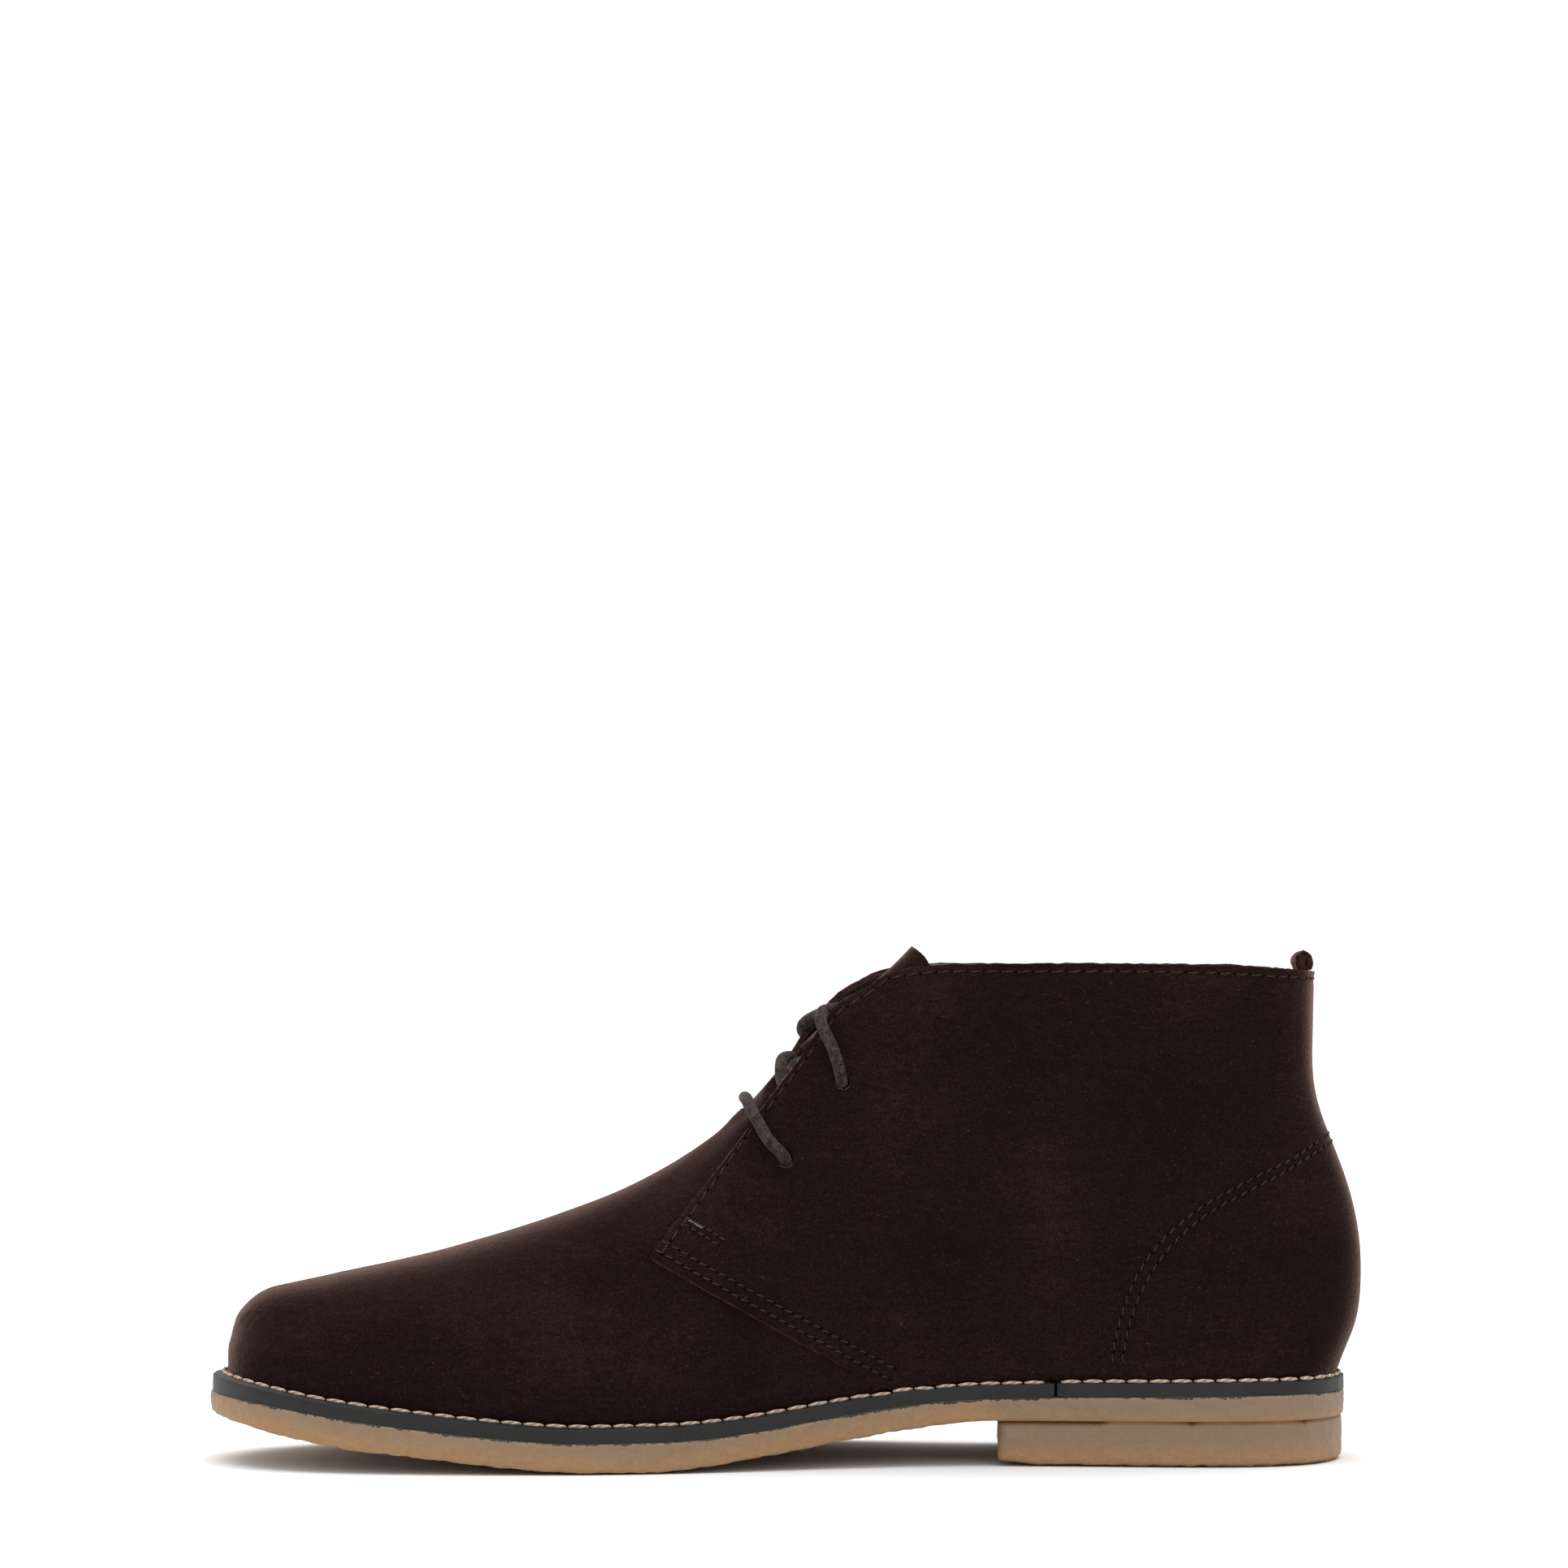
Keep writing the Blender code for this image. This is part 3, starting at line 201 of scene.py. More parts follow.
def make_suede():
    """Brushed suede: short speckled nap, brushed patches and faint streaks along the hide."""
    material, shader, place = start_finish(
        "brown_suede", Roughness=0.95, Specular_IOR_Level=0.0,
        Sheen_Weight=0.66, Sheen_Roughness=0.25, Sheen_Tint=colour(0.84, 0.56, 0.46),
    )
    nap = cloud(place, 1900.0, 3.0, 0.7)
    grain = cloud(place, 620.0, 3.0, 0.6, (0.6, 0.6, 1.5))
    streaks = cloud(place, 130.0, 3.0, 0.55, (0.35, 0.35, 2.4))
    patches = cloud(place, 26.0, 3.0, 0.5)
    lie = nap * 0.48 + grain * 0.18 + streaks * 0.08 + patches * 0.26
    stops = (
        (0.0, colour(0.0078, 0.0037, 0.0035)), (0.5, colour(0.0122, 0.0062, 0.0057)),
        (1.0, colour(0.0225, 0.0118, 0.0104)),
    )
    ramp = lie.node("ShaderNodeValToRGB", {"stops": stops}, {"Fac": steps(lie, 0.34, 0.66)})
    fibre = steps(cloud(place, 2300.0, 2.0, 0.6, (0.5, 1.0, 1.0)), 0.66, 0.76)
    tint = blend(fibre, ramp, colour(0.058, 0.027, 0.019))
    feed(shader, Base_Color=tint, Normal=relief(nap * 0.8 + grain * 0.4 + streaks * 0.3, 0.00022))
    return material


def make_cut_edge():
    """Raw cut edge: loose suede fibres outside, and the lining's tan edge on its inner third."""
    material, shader, place = start_finish("cut_edge", Roughness=0.95, Specular_IOR_Level=0.0)
    depth = marked(place, "depth")
    fibre = cloud(place, 1700.0, 3.0, 0.7)
    band = cloud(place, 300.0, 2.0, 0.5)
    mask = steps(fibre * 0.6 + band * 0.4, 0.35, 0.65)
    tint = blend(mask, colour(0.0125, 0.0054, 0.0045), colour(0.0600, 0.0265, 0.0195))
    tint = blend(steps(depth + band * 0.4, 1.75, 1.90), tint, colour(0.150, 0.098, 0.058))
    feed(shader, Base_Color=tint, Normal=relief(fibre, 0.0003))
    return material


def make_lining():
    """Smooth tan lining leather, painted dark brown inside as shade, and left tan along its cut edge.
    """
    material, shader, place = start_finish("lining_leather_painted_shade", Specular_IOR_Level=0.35)
    sockets = {"Vector": place, "Scale": 900.0}
    pores = place.node("ShaderNodeTexVoronoi", {"feature": "DISTANCE_TO_EDGE"}, sockets, "Distance")
    patches = cloud(place, 45.0, 3.0, 0.5)
    # Painted shade: the tan lining is darkened all over to these browns, as the inside of the boot
    # lies in shade.
    tint = blend(steps(patches, 0.3, 0.7), colour(0.040, 0.023, 0.014), colour(0.062, 0.037, 0.022))
    tint = blend(steps(pores, 0.0, 0.12), colour(0.045, 0.026, 0.016), tint)
    depth = marked(place, "depth")
    tint = blend(steps(depth, 1.0, 1.4), tint, colour(0.150, 0.098, 0.058))
    feed(shader, Base_Color=tint, Roughness=0.50 + patches * 0.2)
    feed(shader, Normal=relief(steps(pores, 0.0, 0.2), 0.00012))
    return material


def copy_of(node, crease):
    """A merged copy of a CAD node: stray slivers turned, triangles paired, corners creased."""
    shape = bmesh.new()
    shape.from_mesh(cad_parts[node].data)
    bmesh.ops.remove_doubles(shape, verts=shape.verts, dist=MERGE_STEP)
    for face in list(shape.faces):
        longest = max(face.edges, key=lambda edge: edge.calc_length())
        thin = 2.0 * face.calc_area() / longest.calc_length() < STRAY_STEP
        if thin and all(edge.calc_face_angle() > STRAY_FOLD for edge in face.edges):
            bmesh.ops.rotate_edges(shape, edges=[longest])
    bmesh.ops.join_triangles(
        shape, faces=shape.faces, angle_face_threshold=PAIR_BEND, angle_shape_threshold=PAIR_SKEW
    )
    shape.verts.index_update()
    shape.faces.index_update()
    shape.faces.ensure_lookup_table()
    layer = shape.edges.layers.float.new("crease_edge")
    for edge in shape.edges:
        if len(edge.link_faces) == 2 and edge.calc_face_angle() > CUT_EDGE_ANGLE:
            edge[layer] = crease
    return shape


def spread_from(shape, place, limit):
    """The faces reached from a place without crossing an edge sharper than the limit."""
    start = shape.faces[BVHTree.FromBMesh(shape).find_nearest(place)[2]]
    reached, waiting = {start}, [start]
    while waiting:
        face = waiting.pop()
        for edge in face.edges:
            for other in edge.link_faces:
                if other not in reached and edge.calc_face_angle(0.0) < limit:
                    reached.add(other)
                    waiting.append(other)
    return reached


def borders(faces):
    """Closed runs of points round a set of faces, longest first, with the faces on the left."""
    follow = {}
    for face in sorted(faces, key=lambda face: face.index):
        for loop in face.loops:
            if all(other is face or other not in faces for other in loop.edge.link_faces):
                follow[loop.vert] = loop.link_loop_next.vert
    runs = []
    while follow:
        start, vert = follow.popitem()
        run = [start.co.copy()]
        while vert is not start and vert in follow:
            run.append(vert.co.copy())
            vert = follow.pop(vert)
        runs.append(run)
    return sorted(runs, key=len, reverse=True)


def part_of(run, first, last):
    """The part of a closed run from the point nearest to first, onwards to that nearest to last."""
    begin = min(range(len(run)), key=lambda i: (run[i] - first).length)
    end = min(range(len(run)), key=lambda i: (run[i] - last).length)
    if end <= begin:
        end += len(run)
    return [run[i % len(run)] for i in range(begin, end + 1)]


def even_run(points, spacing):
    """The same line with its points at even distances."""
    travel = [0.0]
    for before, after in zip(points, points[1:]):
        travel.append(travel[-1] + (after - before).length)
    count = max(2, round(travel[-1] / spacing))
    made, index = [], 0
    for step in range(count + 1):
        wanted = travel[-1] * step / count
        while index < len(points) - 2 and travel[index + 1] < wanted:
            index += 1
        share = (wanted - travel[index]) / max(1e-9, travel[index + 1] - travel[index])
        made.append(points[index].lerp(points[index + 1], min(1.0, share)))
    return made


def smooth_run(points, spacing):
    """Evenly spaced points on a smooth line through the given ones."""
    points = [Vector(point) for point in points]
    ends = [points[0] * 2.0 - points[1], *points, points[-1] * 2.0 - points[-2]]
    fine = []
    for before, first, second, after in zip(ends, ends[1:], ends[2:], ends[3:]):
        leave, reach = (second - before) / 6.0, (after - first) / 6.0
        fine += interpolate_bezier(first, first + leave, second - reach, second, CURVE_POINTS)[:-1]
    return even_run(fine + [points[-1]], spacing)


def clamp(value):
    """The value, kept from 0 to 1."""
    return min(1.0, max(0.0, value))


def tree_of(shape, faces):
    """A search tree of some faces of a shape."""
    polygons = [[vert.index for vert in face.verts] for face in faces]
    return BVHTree.FromPolygons([vert.co for vert in shape.verts], polygons)


def point_tree(points, flat=False):
    """A search tree of points, all at the height 0 if it is flat."""
    tree = KDTree(len(points))
    for number, place in enumerate(points):
        tree.insert((place.x, place.y, 0.0 if flat else place.z), number)
    tree.balance()
    return tree


def move_points(mesh, moves):
    """Moves each point of a mesh by its own step."""
    for vert, move in zip(mesh.vertices, moves):
        vert.co += move


def finish_piece(name, shape, materials, slot, *nodes, levels=0, change=None):
    """Makes the piece: rounded, moved by change, smooth, riding on the boot for its CAD nodes."""
    mesh = bpy.data.meshes.new(name)
    shape.to_mesh(mesh)
    shape.free()
    for material in materials:
        mesh.materials.append(material)
    piece = bpy.data.objects.new(name, mesh)
    bpy.context.scene.collection.objects.link(piece)
    if levels:
        rounding = piece.modifiers.new("rounding", "SUBSURF")
        rounding.levels = rounding.render_levels = levels
        depsgraph = bpy.context.evaluated_depsgraph_get()
        piece.data = bpy.data.meshes.new_from_object(piece.evaluated_get(depsgraph))
        piece.modifiers.clear()
        bpy.data.meshes.remove(mesh)
    if change:
        change(piece.data)
    piece.data.shade_smooth()
    piece.data.set_sharp_from_angle(angle=SMOOTH_ANGLE)
    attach(piece, "root")
    if nodes:
        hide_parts(*nodes)
    return piece


suede = make_suede()
cut_edge = make_cut_edge()
lining = make_lining()

upper_shape = copy_of("upper", crease=0.7)
for centre, outward in LACE_HOLES:
    centre, outward = Vector(centre) + HOLE_DRAWN, Vector(outward).normalized()
    for vert in upper_shape.verts:
        away = vert.co - centre
        away -= outward * away.dot(outward)
        if away.length < HOLE_REACH:
            vert.co += away * (HOLE_RADIUS / away.length - 1.0)
vamp_skin = spread_from(upper_shape, VAMP_SPOT, SKIN_FOLLOW_ANGLE)
quarter_skin = spread_from(upper_shape, QUARTER_SPOT, SKIN_FOLLOW_ANGLE)
outside = vamp_skin | quarter_skin


def beside_skin(face):
    """Whether at least two of a face's neighbours belong to the outside."""
    around = [other for edge in face.edges for other in edge.link_faces if other != face]
    return sum(other in outside for other in around) > 1


# The toe's small folded faces belong to its skin too, and aren't creased.
for _ in range(2):
    outside |= {
        face for face in upper_shape.faces
        if face.calc_center_median().x < TOE_SMOOTH_TO and beside_skin(face)
    }
crease_layer = upper_shape.edges.layers.float["crease_edge"]
for edge in upper_shape.edges:
    if edge.verts[0].co.x < TOE_SMOOTH_TO and all(face in outside for face in edge.link_faces):
        edge[crease_layer] = 0.0
skin_tree = tree_of(upper_shape, [face for face in upper_shape.faces if face in outside])
for face in upper_shape.faces:
    if face in outside:
        face.material_index = 0
    else:
        across = skin_tree.find_nearest(face.calc_center_median())[1].dot(face.normal)
        face.material_index = 2 if across < FACING_IN else 1
quarter_border = borders(quarter_skin)[0]

# Seams of the upper
# Corded polyester thread in lock stitch. One row follows the facings and the collar, two rows
# hold each quarter to the vamp, two more hold the counter, and a short tack stops the throat.
ROW_STEP = 0.001
BESIDE = 0.12
FACING_INSET = 0.0021
FACING_PITCH = 0.0044
SEAM_INSETS = (0.0026, 0.0056)
SEAM_PITCH = 0.0028
COUNTER_PITCH = 0.0031
TACK_PITCH = 0.0021
TACK_ROWS = (((-0.0262, 0.0640), (-0.0160, 0.0582)), ((-0.0268, 0.0624), (-0.0170, 0.0566)))
TACK_END = ((-0.0254, 0.0633), (-0.0219, 0.0613))
TACK_END_PITCH = 0.0009
TACK_END_SIZE = (0.0012, 0.0004, 0.0004)
NEEDLE_HOLE_SIZE = (0.0011, 0.0008, 0.0004)
PLY_ROUND = 12.566
PLY_TWIST = 19.0
COUNTER_ROWS = (
    (
        (0.0832, 0.0262), (0.0843, 0.0332), (0.0864, 0.0409), (0.0895, 0.0486), (0.0939, 0.0552),
        (0.0988, 0.0604), (0.1069, 0.0666), (0.1165, 0.0718), (0.1232, 0.0751), (0.1309, 0.0785),
        (0.1393, 0.0833),
    ),
    (
        (0.0857, 0.0262), (0.0863, 0.0298), (0.0880, 0.0375), (0.0899, 0.0426), (0.0932, 0.0493),
        (0.0976, 0.0555), (0.1028, 0.0607), (0.1095, 0.0655), (0.1177, 0.0698), (0.1283, 0.0750),
        (0.1399, 0.0812),
    ),
)
COUNTER_TOPS = ((0.1485, 0.0, 0.0872), (0.1488, 0.0, 0.0850))


def seat_on(tree, run, depth=0.0):
    """Moves a run inwards over a skin by a depth, keeping it on the skin."""
    moved = run
    hops = max(1, math.ceil(abs(depth) / ROW_STEP))
    for _ in range(hops):
        line = []
        for index, place in enumerate(moved):
            ahead = moved[min(index + 2, len(moved) - 1)] - moved[max(index - 2, 0)]
            normal = tree.find_nearest(place)[1]
            inward = normal.cross(ahead).normalized()
            line.append(tree.find_nearest(place + inward * (depth / hops))[0])
        moved = line
    return moved


def on_side(tree, side, x, z):
    """Point of a skin seen from one side, at a given place along and height."""
    return tree.ray_cast(Vector((x, side * BESIDE, z)), Vector((0.0, -side, 0.0)))[0]


facing_run = part_of(quarter_border, QUARTER_CORNER[OUTER], QUARTER_CORNER[INNER])
quarter_runs = (
    part_of(quarter_border, QUARTER_CORNER[INNER], QUARTER_FOOT[INNER]),
    part_of(quarter_border, QUARTER_FOOT[OUTER], QUARTER_CORNER[OUTER]),
)
facing_row = seat_on(skin_tree, even_run(facing_run, ROW_STEP), FACING_INSET)
seam_rows = [
    seat_on(skin_tree, even_run(run, ROW_STEP), inset) for run in quarter_runs for inset in SEAM_INSETS
]
counter_rows = []
for places, top in zip(COUNTER_ROWS, COUNTER_TOPS):
    inner = [on_side(skin_tree, INNER, *place) for place in places]
    outer = [on_side(skin_tree, OUTER, *place) for place in places]
    counter_rows.append(smooth_run([*inner, top, *outer[::-1]], ROW_STEP))
tack_rows = [
    even_run([on_side(skin_tree, side, *place) for place in row], ROW_STEP)
    for side in SIDES for row in TACK_ROWS
]

# The leather is drawn down along each row of stitches, and it swells softly between the rows.
ROW_DRAW = 0.00030
ROW_REACH = 0.0024
LEATHER_WAVES = ((38.0, 0.00022), (90.0, 0.00008))
THROAT_OUT = Vector((-0.7, 0.0, 0.7))
VAMP_END = Vector((-0.0120, -0.0045, 0.0905))
VAMP_SWELL = 0.0010
VAMP_SWELL_REACH = 0.0080
FACING_SPOT = Vector((0.0150, -0.0170, 0.1155))
FACING_LIFT = 0.0012
FACING_LIFT_REACH = 0.0120
EDGE_FRAY = 0.00024
FRAY_SCALES = (420.0, 900.0)
NOISE_SHIFT = 31.7
TOE_SMOOTH_FROM = 0.0300
TOE_SMOOTH_TURNS = 60
stitched_line = [*facing_row]
for row in (*seam_rows, *counter_rows, *tack_rows):
    stitched_line += row
row_tree = point_tree(stitched_line)


def tremble(place):
    """Noise in all three directions at a place, the same on each run."""
    return Vector([noise.noise(place + Vector((0.0, 0.0, NOISE_SHIFT * axis))) for axis in range(3)])


def swelling(place, centre, height, reach):
    """How far a soft swelling round a centre stands out at a place."""
    return height * max(0.0, 1.0 - ((place - centre).length / reach) ** 2) ** 2


def shape_skin(mesh):
    """Smooths the toe, draws the leather down along the stitches and frays its cut edges."""
    shape = bmesh.new()
    shape.from_mesh(mesh)
    toe = [vert for vert in shape.verts if vert.co.x < TOE_SMOOTH_TO and vert.co.z > TOE_SMOOTH_FROM]
    for _ in range(TOE_SMOOTH_TURNS):
        bmesh.ops.smooth_vert(
            shape, verts=toe, factor=0.5, use_axis_x=True, use_axis_y=True, use_axis_z=True
        )
    shape.to_mesh(mesh)
    shape.free()
    depth = mesh.attributes.new("depth", "FLOAT", "POINT")
    raw = set()
    for face in mesh.polygons:
        if face.material_index == 1:
            raw.update(face.vertices)
    moves = []
    for vert in mesh.vertices:
        away = row_tree.find(vert.co)[2]
        draw = ROW_DRAW * max(0.0, 1.0 - away / ROW_REACH) ** 1.5
        wave = sum(noise.noise(vert.co * scale) * height for scale, height in LEATHER_WAVES)
        swell = swelling(vert.co, VAMP_END, VAMP_SWELL, VAMP_SWELL_REACH)
        lift = swelling(vert.co, FACING_SPOT, FACING_LIFT, FACING_LIFT_REACH)
        move = vert.normal * (wave - draw) + THROAT_OUT * (swell + lift)
        if vert.index in raw:
            if vert.co.z > QUARTER_CORNER[INNER].z:
                depth.data[vert.index].value = skin_tree.find_nearest(vert.co)[3] * MM
            for scale in FRAY_SCALES:
                move += tremble(vert.co * scale) * EDGE_FRAY
        moves.append(move)
    move_points(mesh, moves)


upper = finish_piece(
    "upper_suede", upper_shape, (suede, cut_edge, lining), "brown_suede", "upper",
    levels=2, change=shape_skin,
)


def skin_of(piece, slot):
    """A search tree of those faces of a piece that have one of its materials."""
    mesh = piece.data
    faces = [face.vertices[:] for face in mesh.polygons if face.material_index == slot]
    return BVHTree.FromPolygons([vert.co for vert in mesh.vertices], faces)


def laid_out(place, name):
    """The two coordinates of a piece's UV map."""
    lie = place.node("ShaderNodeUVMap", {"uv_map": name}, {}, "UV")
    return [lie.node("ShaderNodeSeparateXYZ", {}, {0: lie}, axis) for axis in ("X", "Y")]


def ripple(angle):
    """A wave from -1 to 1."""
    return angle.node("ShaderNodeMath", {"operation": "SINE"}, {0: angle})


def make_thread(name, dark, light):
    """Corded thread of two twisted plies: random tone, with painted highlight on the ply crowns and
    painted shade between them.
    """
    material, shader, place = start_finish(name, Roughness=0.80, Specular_IOR_Level=0.10)
    round_it, along = laid_out(place, "thread")
    plies = ripple(round_it * PLY_ROUND + along * PLY_TWIST)
    fuzz = cloud(place, 2500.0, 2.0, 0.6)
    # Mostly random fuzz; the ply share paints highlight on the raised plies and shade between them.
    mask = steps(plies * 0.22 + fuzz, 0.25, 0.80)
    feed(shader, Base_Color=blend(mask, dark, light), Normal=relief(plies * 0.4 + fuzz * 0.4, 0.00010))
    return material


def bead(segments, rings, size, material_index):
    """One small rounded body with its long axis along X, ready to be laid down many times."""
    shape = bmesh.new()
    shape.loops.layers.uv.new("thread")
    turn = Matrix.Rotation(math.pi / 2.0, 4, "Y")
    bmesh.ops.create_uvsphere(
        shape, u_segments=segments, v_segments=rings, radius=0.5, calc_uvs=True, matrix=turn
    )
    bmesh.ops.scale(shape, vec=size, verts=shape.verts)
    for face in shape.faces:
        face.material_index = material_index
    mesh = bpy.data.meshes.new("bead")
    shape.to_mesh(mesh)
    shape.free()
    return mesh


def lay_down(shape, mesh, place, ahead, normal):
    """Adds a copy of a small body to the shape, turned along a row and out from the skin."""
    across = normal.cross(ahead).normalized()
    turn = Matrix((across.cross(normal), across, normal)).transposed().to_4x4()
    laid = mesh.copy()
    laid.transform(Matrix.Translation(place) @ turn)
    shape.from_mesh(laid)
    bpy.data.meshes.remove(laid)


def sew(name, rows, pitch, size, tree, thread, sunk=0.30, lean=0.0):
    """Rows of stitches on a skin: each a short thread between needle holes drawn as dark beads of
    painted shade.
    """
    shape = bmesh.new()
    stitch = bead(segments=10, rings=7, size=size, material_index=0)
    # Each needle hole is a dark bead sunk into the skin, painted shade for the hole.
    hole = bead(segments=8, rings=4, size=NEEDLE_HOLE_SIZE, material_index=1)
    for row in rows:
        line = even_run(row, pitch / 2.0)
        for index in range(1, len(line) - 1):
            place, normal = tree.find_nearest(line[index])[:2]
            ahead = line[index + 1] - line[index - 1]
            if index % 2:
                ahead = Matrix.Rotation(lean, 3, normal) @ ahead
                lay_down(shape, stitch, place + normal * (size[2] * (0.5 - sunk)), ahead, normal)
            else:
                lay_down(shape, hole, place, ahead, normal)
    return finish_piece(name, shape, (thread, needle_hole_shade), "waxed_cotton")


def make_needle_hole():
    """Painted shade: the dark beads that stand for the needle holes between two stitches."""
    material, shader, place = start_finish("needle_hole_shade", Roughness=1.0, Specular_IOR_Level=0.0)
    burr = steps(cloud(place, 3000.0), 0.4, 0.7)
    tint = blend(burr, colour(0.0035, 0.0020, 0.0018), colour(0.0090, 0.0050, 0.0045))
    feed(shader, Base_Color=tint)
    return material


needle_hole_shade = make_needle_hole()
brown_thread = make_thread(
    "brown_thread", colour(0.0130, 0.0064, 0.0048), colour(0.0660, 0.0345, 0.0260)
)
pale_thread = make_thread("pale_thread", colour(0.080, 0.078, 0.080), colour(0.330, 0.320, 0.310))
skin = skin_of(upper, 0)
for name, rows, pitch, size, lean in (
    ("facing_stitches", [facing_row], FACING_PITCH, (0.0036, 0.00050, 0.00045), 0.10),
    ("seam_stitches", seam_rows, SEAM_PITCH, (0.0023, 0.00050, 0.00045), 0.22),
    ("counter_stitches", counter_rows, COUNTER_PITCH, (0.0025, 0.00048, 0.00042), 0.20),
    ("tack_stitches", tack_rows, TACK_PITCH, (0.0018, 0.00055, 0.00050), 0.15),
):
    sew(name, rows, pitch, size, skin, brown_thread, lean=lean)

# A little pale thread from the bobbin shows at the end of the near tack.
tack_end = [on_side(skin, INNER, *place) for place in TACK_END]
sew("tack_end", [tack_end], TACK_END_PITCH, TACK_END_SIZE, skin, pale_thread, lean=0.4)

# Tongue
# One unlined piece of the same suede, sewn under the vamp and cut square at its top, so its raw
# edges show all round. The lace presses it down where it crosses, so the lace's line comes first.
LACE_DIAMETER = 0.0031
LACE_CLEARANCE = 0.0002
LACE_STEP = 0.0007
BAR_INNER = (
    (-0.0006, -0.0284, 0.0784), (-0.0011, -0.0302, 0.0794), (-0.0021, -0.0310, 0.0807),
    (-0.0038, -0.0302, 0.0823), (-0.0055, -0.0287, 0.0843), (-0.0070, -0.0265, 0.0870),
    (-0.0085, -0.0239, 0.0894), (-0.0100, -0.0190, 0.0921), (-0.0106, -0.0153, 0.0933),
    (-0.0111, -0.0115, 0.0939), (-0.0114, -0.0056, 0.0941),
)
BAR_OUTER = (
    (-0.0009, 0.0309, 0.0786), (-0.0016, 0.0326, 0.0801), (-0.0029, 0.0327, 0.0820),
    (-0.0049, 0.0315, 0.0823), (-0.0061, 0.0299, 0.0834), (-0.0076, 0.0265, 0.0864),
    (-0.0091, 0.0226, 0.0889), (-0.0101, 0.0184, 0.0910), (-0.0105, 0.0138, 0.0925),
    (-0.0109, 0.0091, 0.0935), (-0.0113, 0.0020, 0.0940),
)
STRAND_OVER = (
    (-0.0005, -0.0262, 0.0779), (0.0008, -0.0225, 0.0865), (-0.0004, -0.0170, 0.0945),
    (-0.0016, -0.0115, 0.0988), (-0.0019, -0.0075, 0.1020), (-0.0013, -0.0025, 0.1042),
    (0.0009, 0.0035, 0.1046), (0.0043, 0.0100, 0.1032), (0.0090, 0.0165, 0.1008),
    (0.0138, 0.0226, 0.0979),
)
STRAND_UNDER = (
    (0.0000, 0.0284, 0.0776), (0.0008, 0.0225, 0.0866), (-0.0012, 0.0150, 0.0953),
    (-0.0018, 0.0095, 0.0988), (-0.0008, 0.0040, 0.1008), (0.0014, -0.0015, 0.1024),
    (0.0040, -0.0070, 0.1035), (0.0068, -0.0120, 0.1036), (0.0105, -0.0165, 0.1018),
    (0.0139, -0.0201, 0.0980),
)
END_INNER = (
    (0.0140, -0.0224, 0.0981), (0.0139, -0.0241, 0.0988), (0.0136, -0.0249, 0.1004),
    (0.0132, -0.0252, 0.1022), (0.0122, -0.0239, 0.1055), (0.0111, -0.0218, 0.1083),
    (0.0097, -0.0201, 0.1112), (0.0091, -0.0193, 0.1124), (0.0087, -0.0182, 0.1136),
    (0.0086, -0.0170, 0.1148), (0.0087, -0.0157, 0.1158), (0.0091, -0.0143, 0.1167),
    (0.0099, -0.0130, 0.1170), (0.0110, -0.0117, 0.1172), (0.0122, -0.0106, 0.1174),
    (0.0136, -0.0092, 0.1176),
)
END_OUTER = (
    (0.0140, 0.0246, 0.0982), (0.0135, 0.0264, 0.0992), (0.0125, 0.0268, 0.1010),
    (0.0114, 0.0265, 0.1027), (0.0093, 0.0239, 0.1053), (0.0073, 0.0210, 0.1076),
    (0.0057, 0.0177, 0.1094), (0.0043, 0.0141, 0.1109), (0.0039, 0.0122, 0.1117),
    (0.0039, 0.0102, 0.1125), (0.0042, 0.0083, 0.1133), (0.0049, 0.0065, 0.1140),
    (0.0059, 0.0048, 0.1147), (0.0070, 0.0031, 0.1153), (0.0080, 0.0014, 0.1158),
    (0.0088, -0.0006, 0.1161),
)
TONGUE_MIDDLE = -0.0015
TONGUE_TOP = 0.1340
TONGUE_THICKNESS = 0.0020
TONGUE_OUT = Vector((-0.8, 0.0, 0.6))
TONGUE_FACE_SPOT = Vector((0.010, 0.0, 0.120))
TONGUE_BACK_SPOT = Vector((0.016, 0.0, 0.112))
TONGUE_WAVE = 0.0003
TONGUE_FRAY = 0.0003
TONGUE_FRAY_DEPTH = 0.0020
TONGUE_PRESSES = 3
TONGUE_PRESS = 0.0030
TONGUE_GIVE = 2.4
TONGUE_CURL = 0.0065
TONGUE_CURL_FROM = 0.104
TONGUE_CURL_TO = 0.132
TONGUE_CURL_WIDTH = 0.014
lace_run = smooth_run([*STRAND_OVER[::-1], *BAR_INNER, *BAR_OUTER[::-1], *STRAND_UNDER], LACE_STEP)
lace_ends = [smooth_run(END_INNER, LACE_STEP), smooth_run(END_OUTER, LACE_STEP)]
lace_tree = point_tree([*lace_run, *lace_ends[0], *lace_ends[1]])
tongue_shape = copy_of("tongue", crease=0.75)
tongue_face = spread_from(tongue_shape, TONGUE_FACE_SPOT, SKIN_FOLLOW_ANGLE)
tongue_back = spread_from(tongue_shape, TONGUE_BACK_SPOT, SKIN_FOLLOW_ANGLE)
for face in tongue_shape.faces:
    face.material_index = 0 if face in tongue_face or face in tongue_back else 1


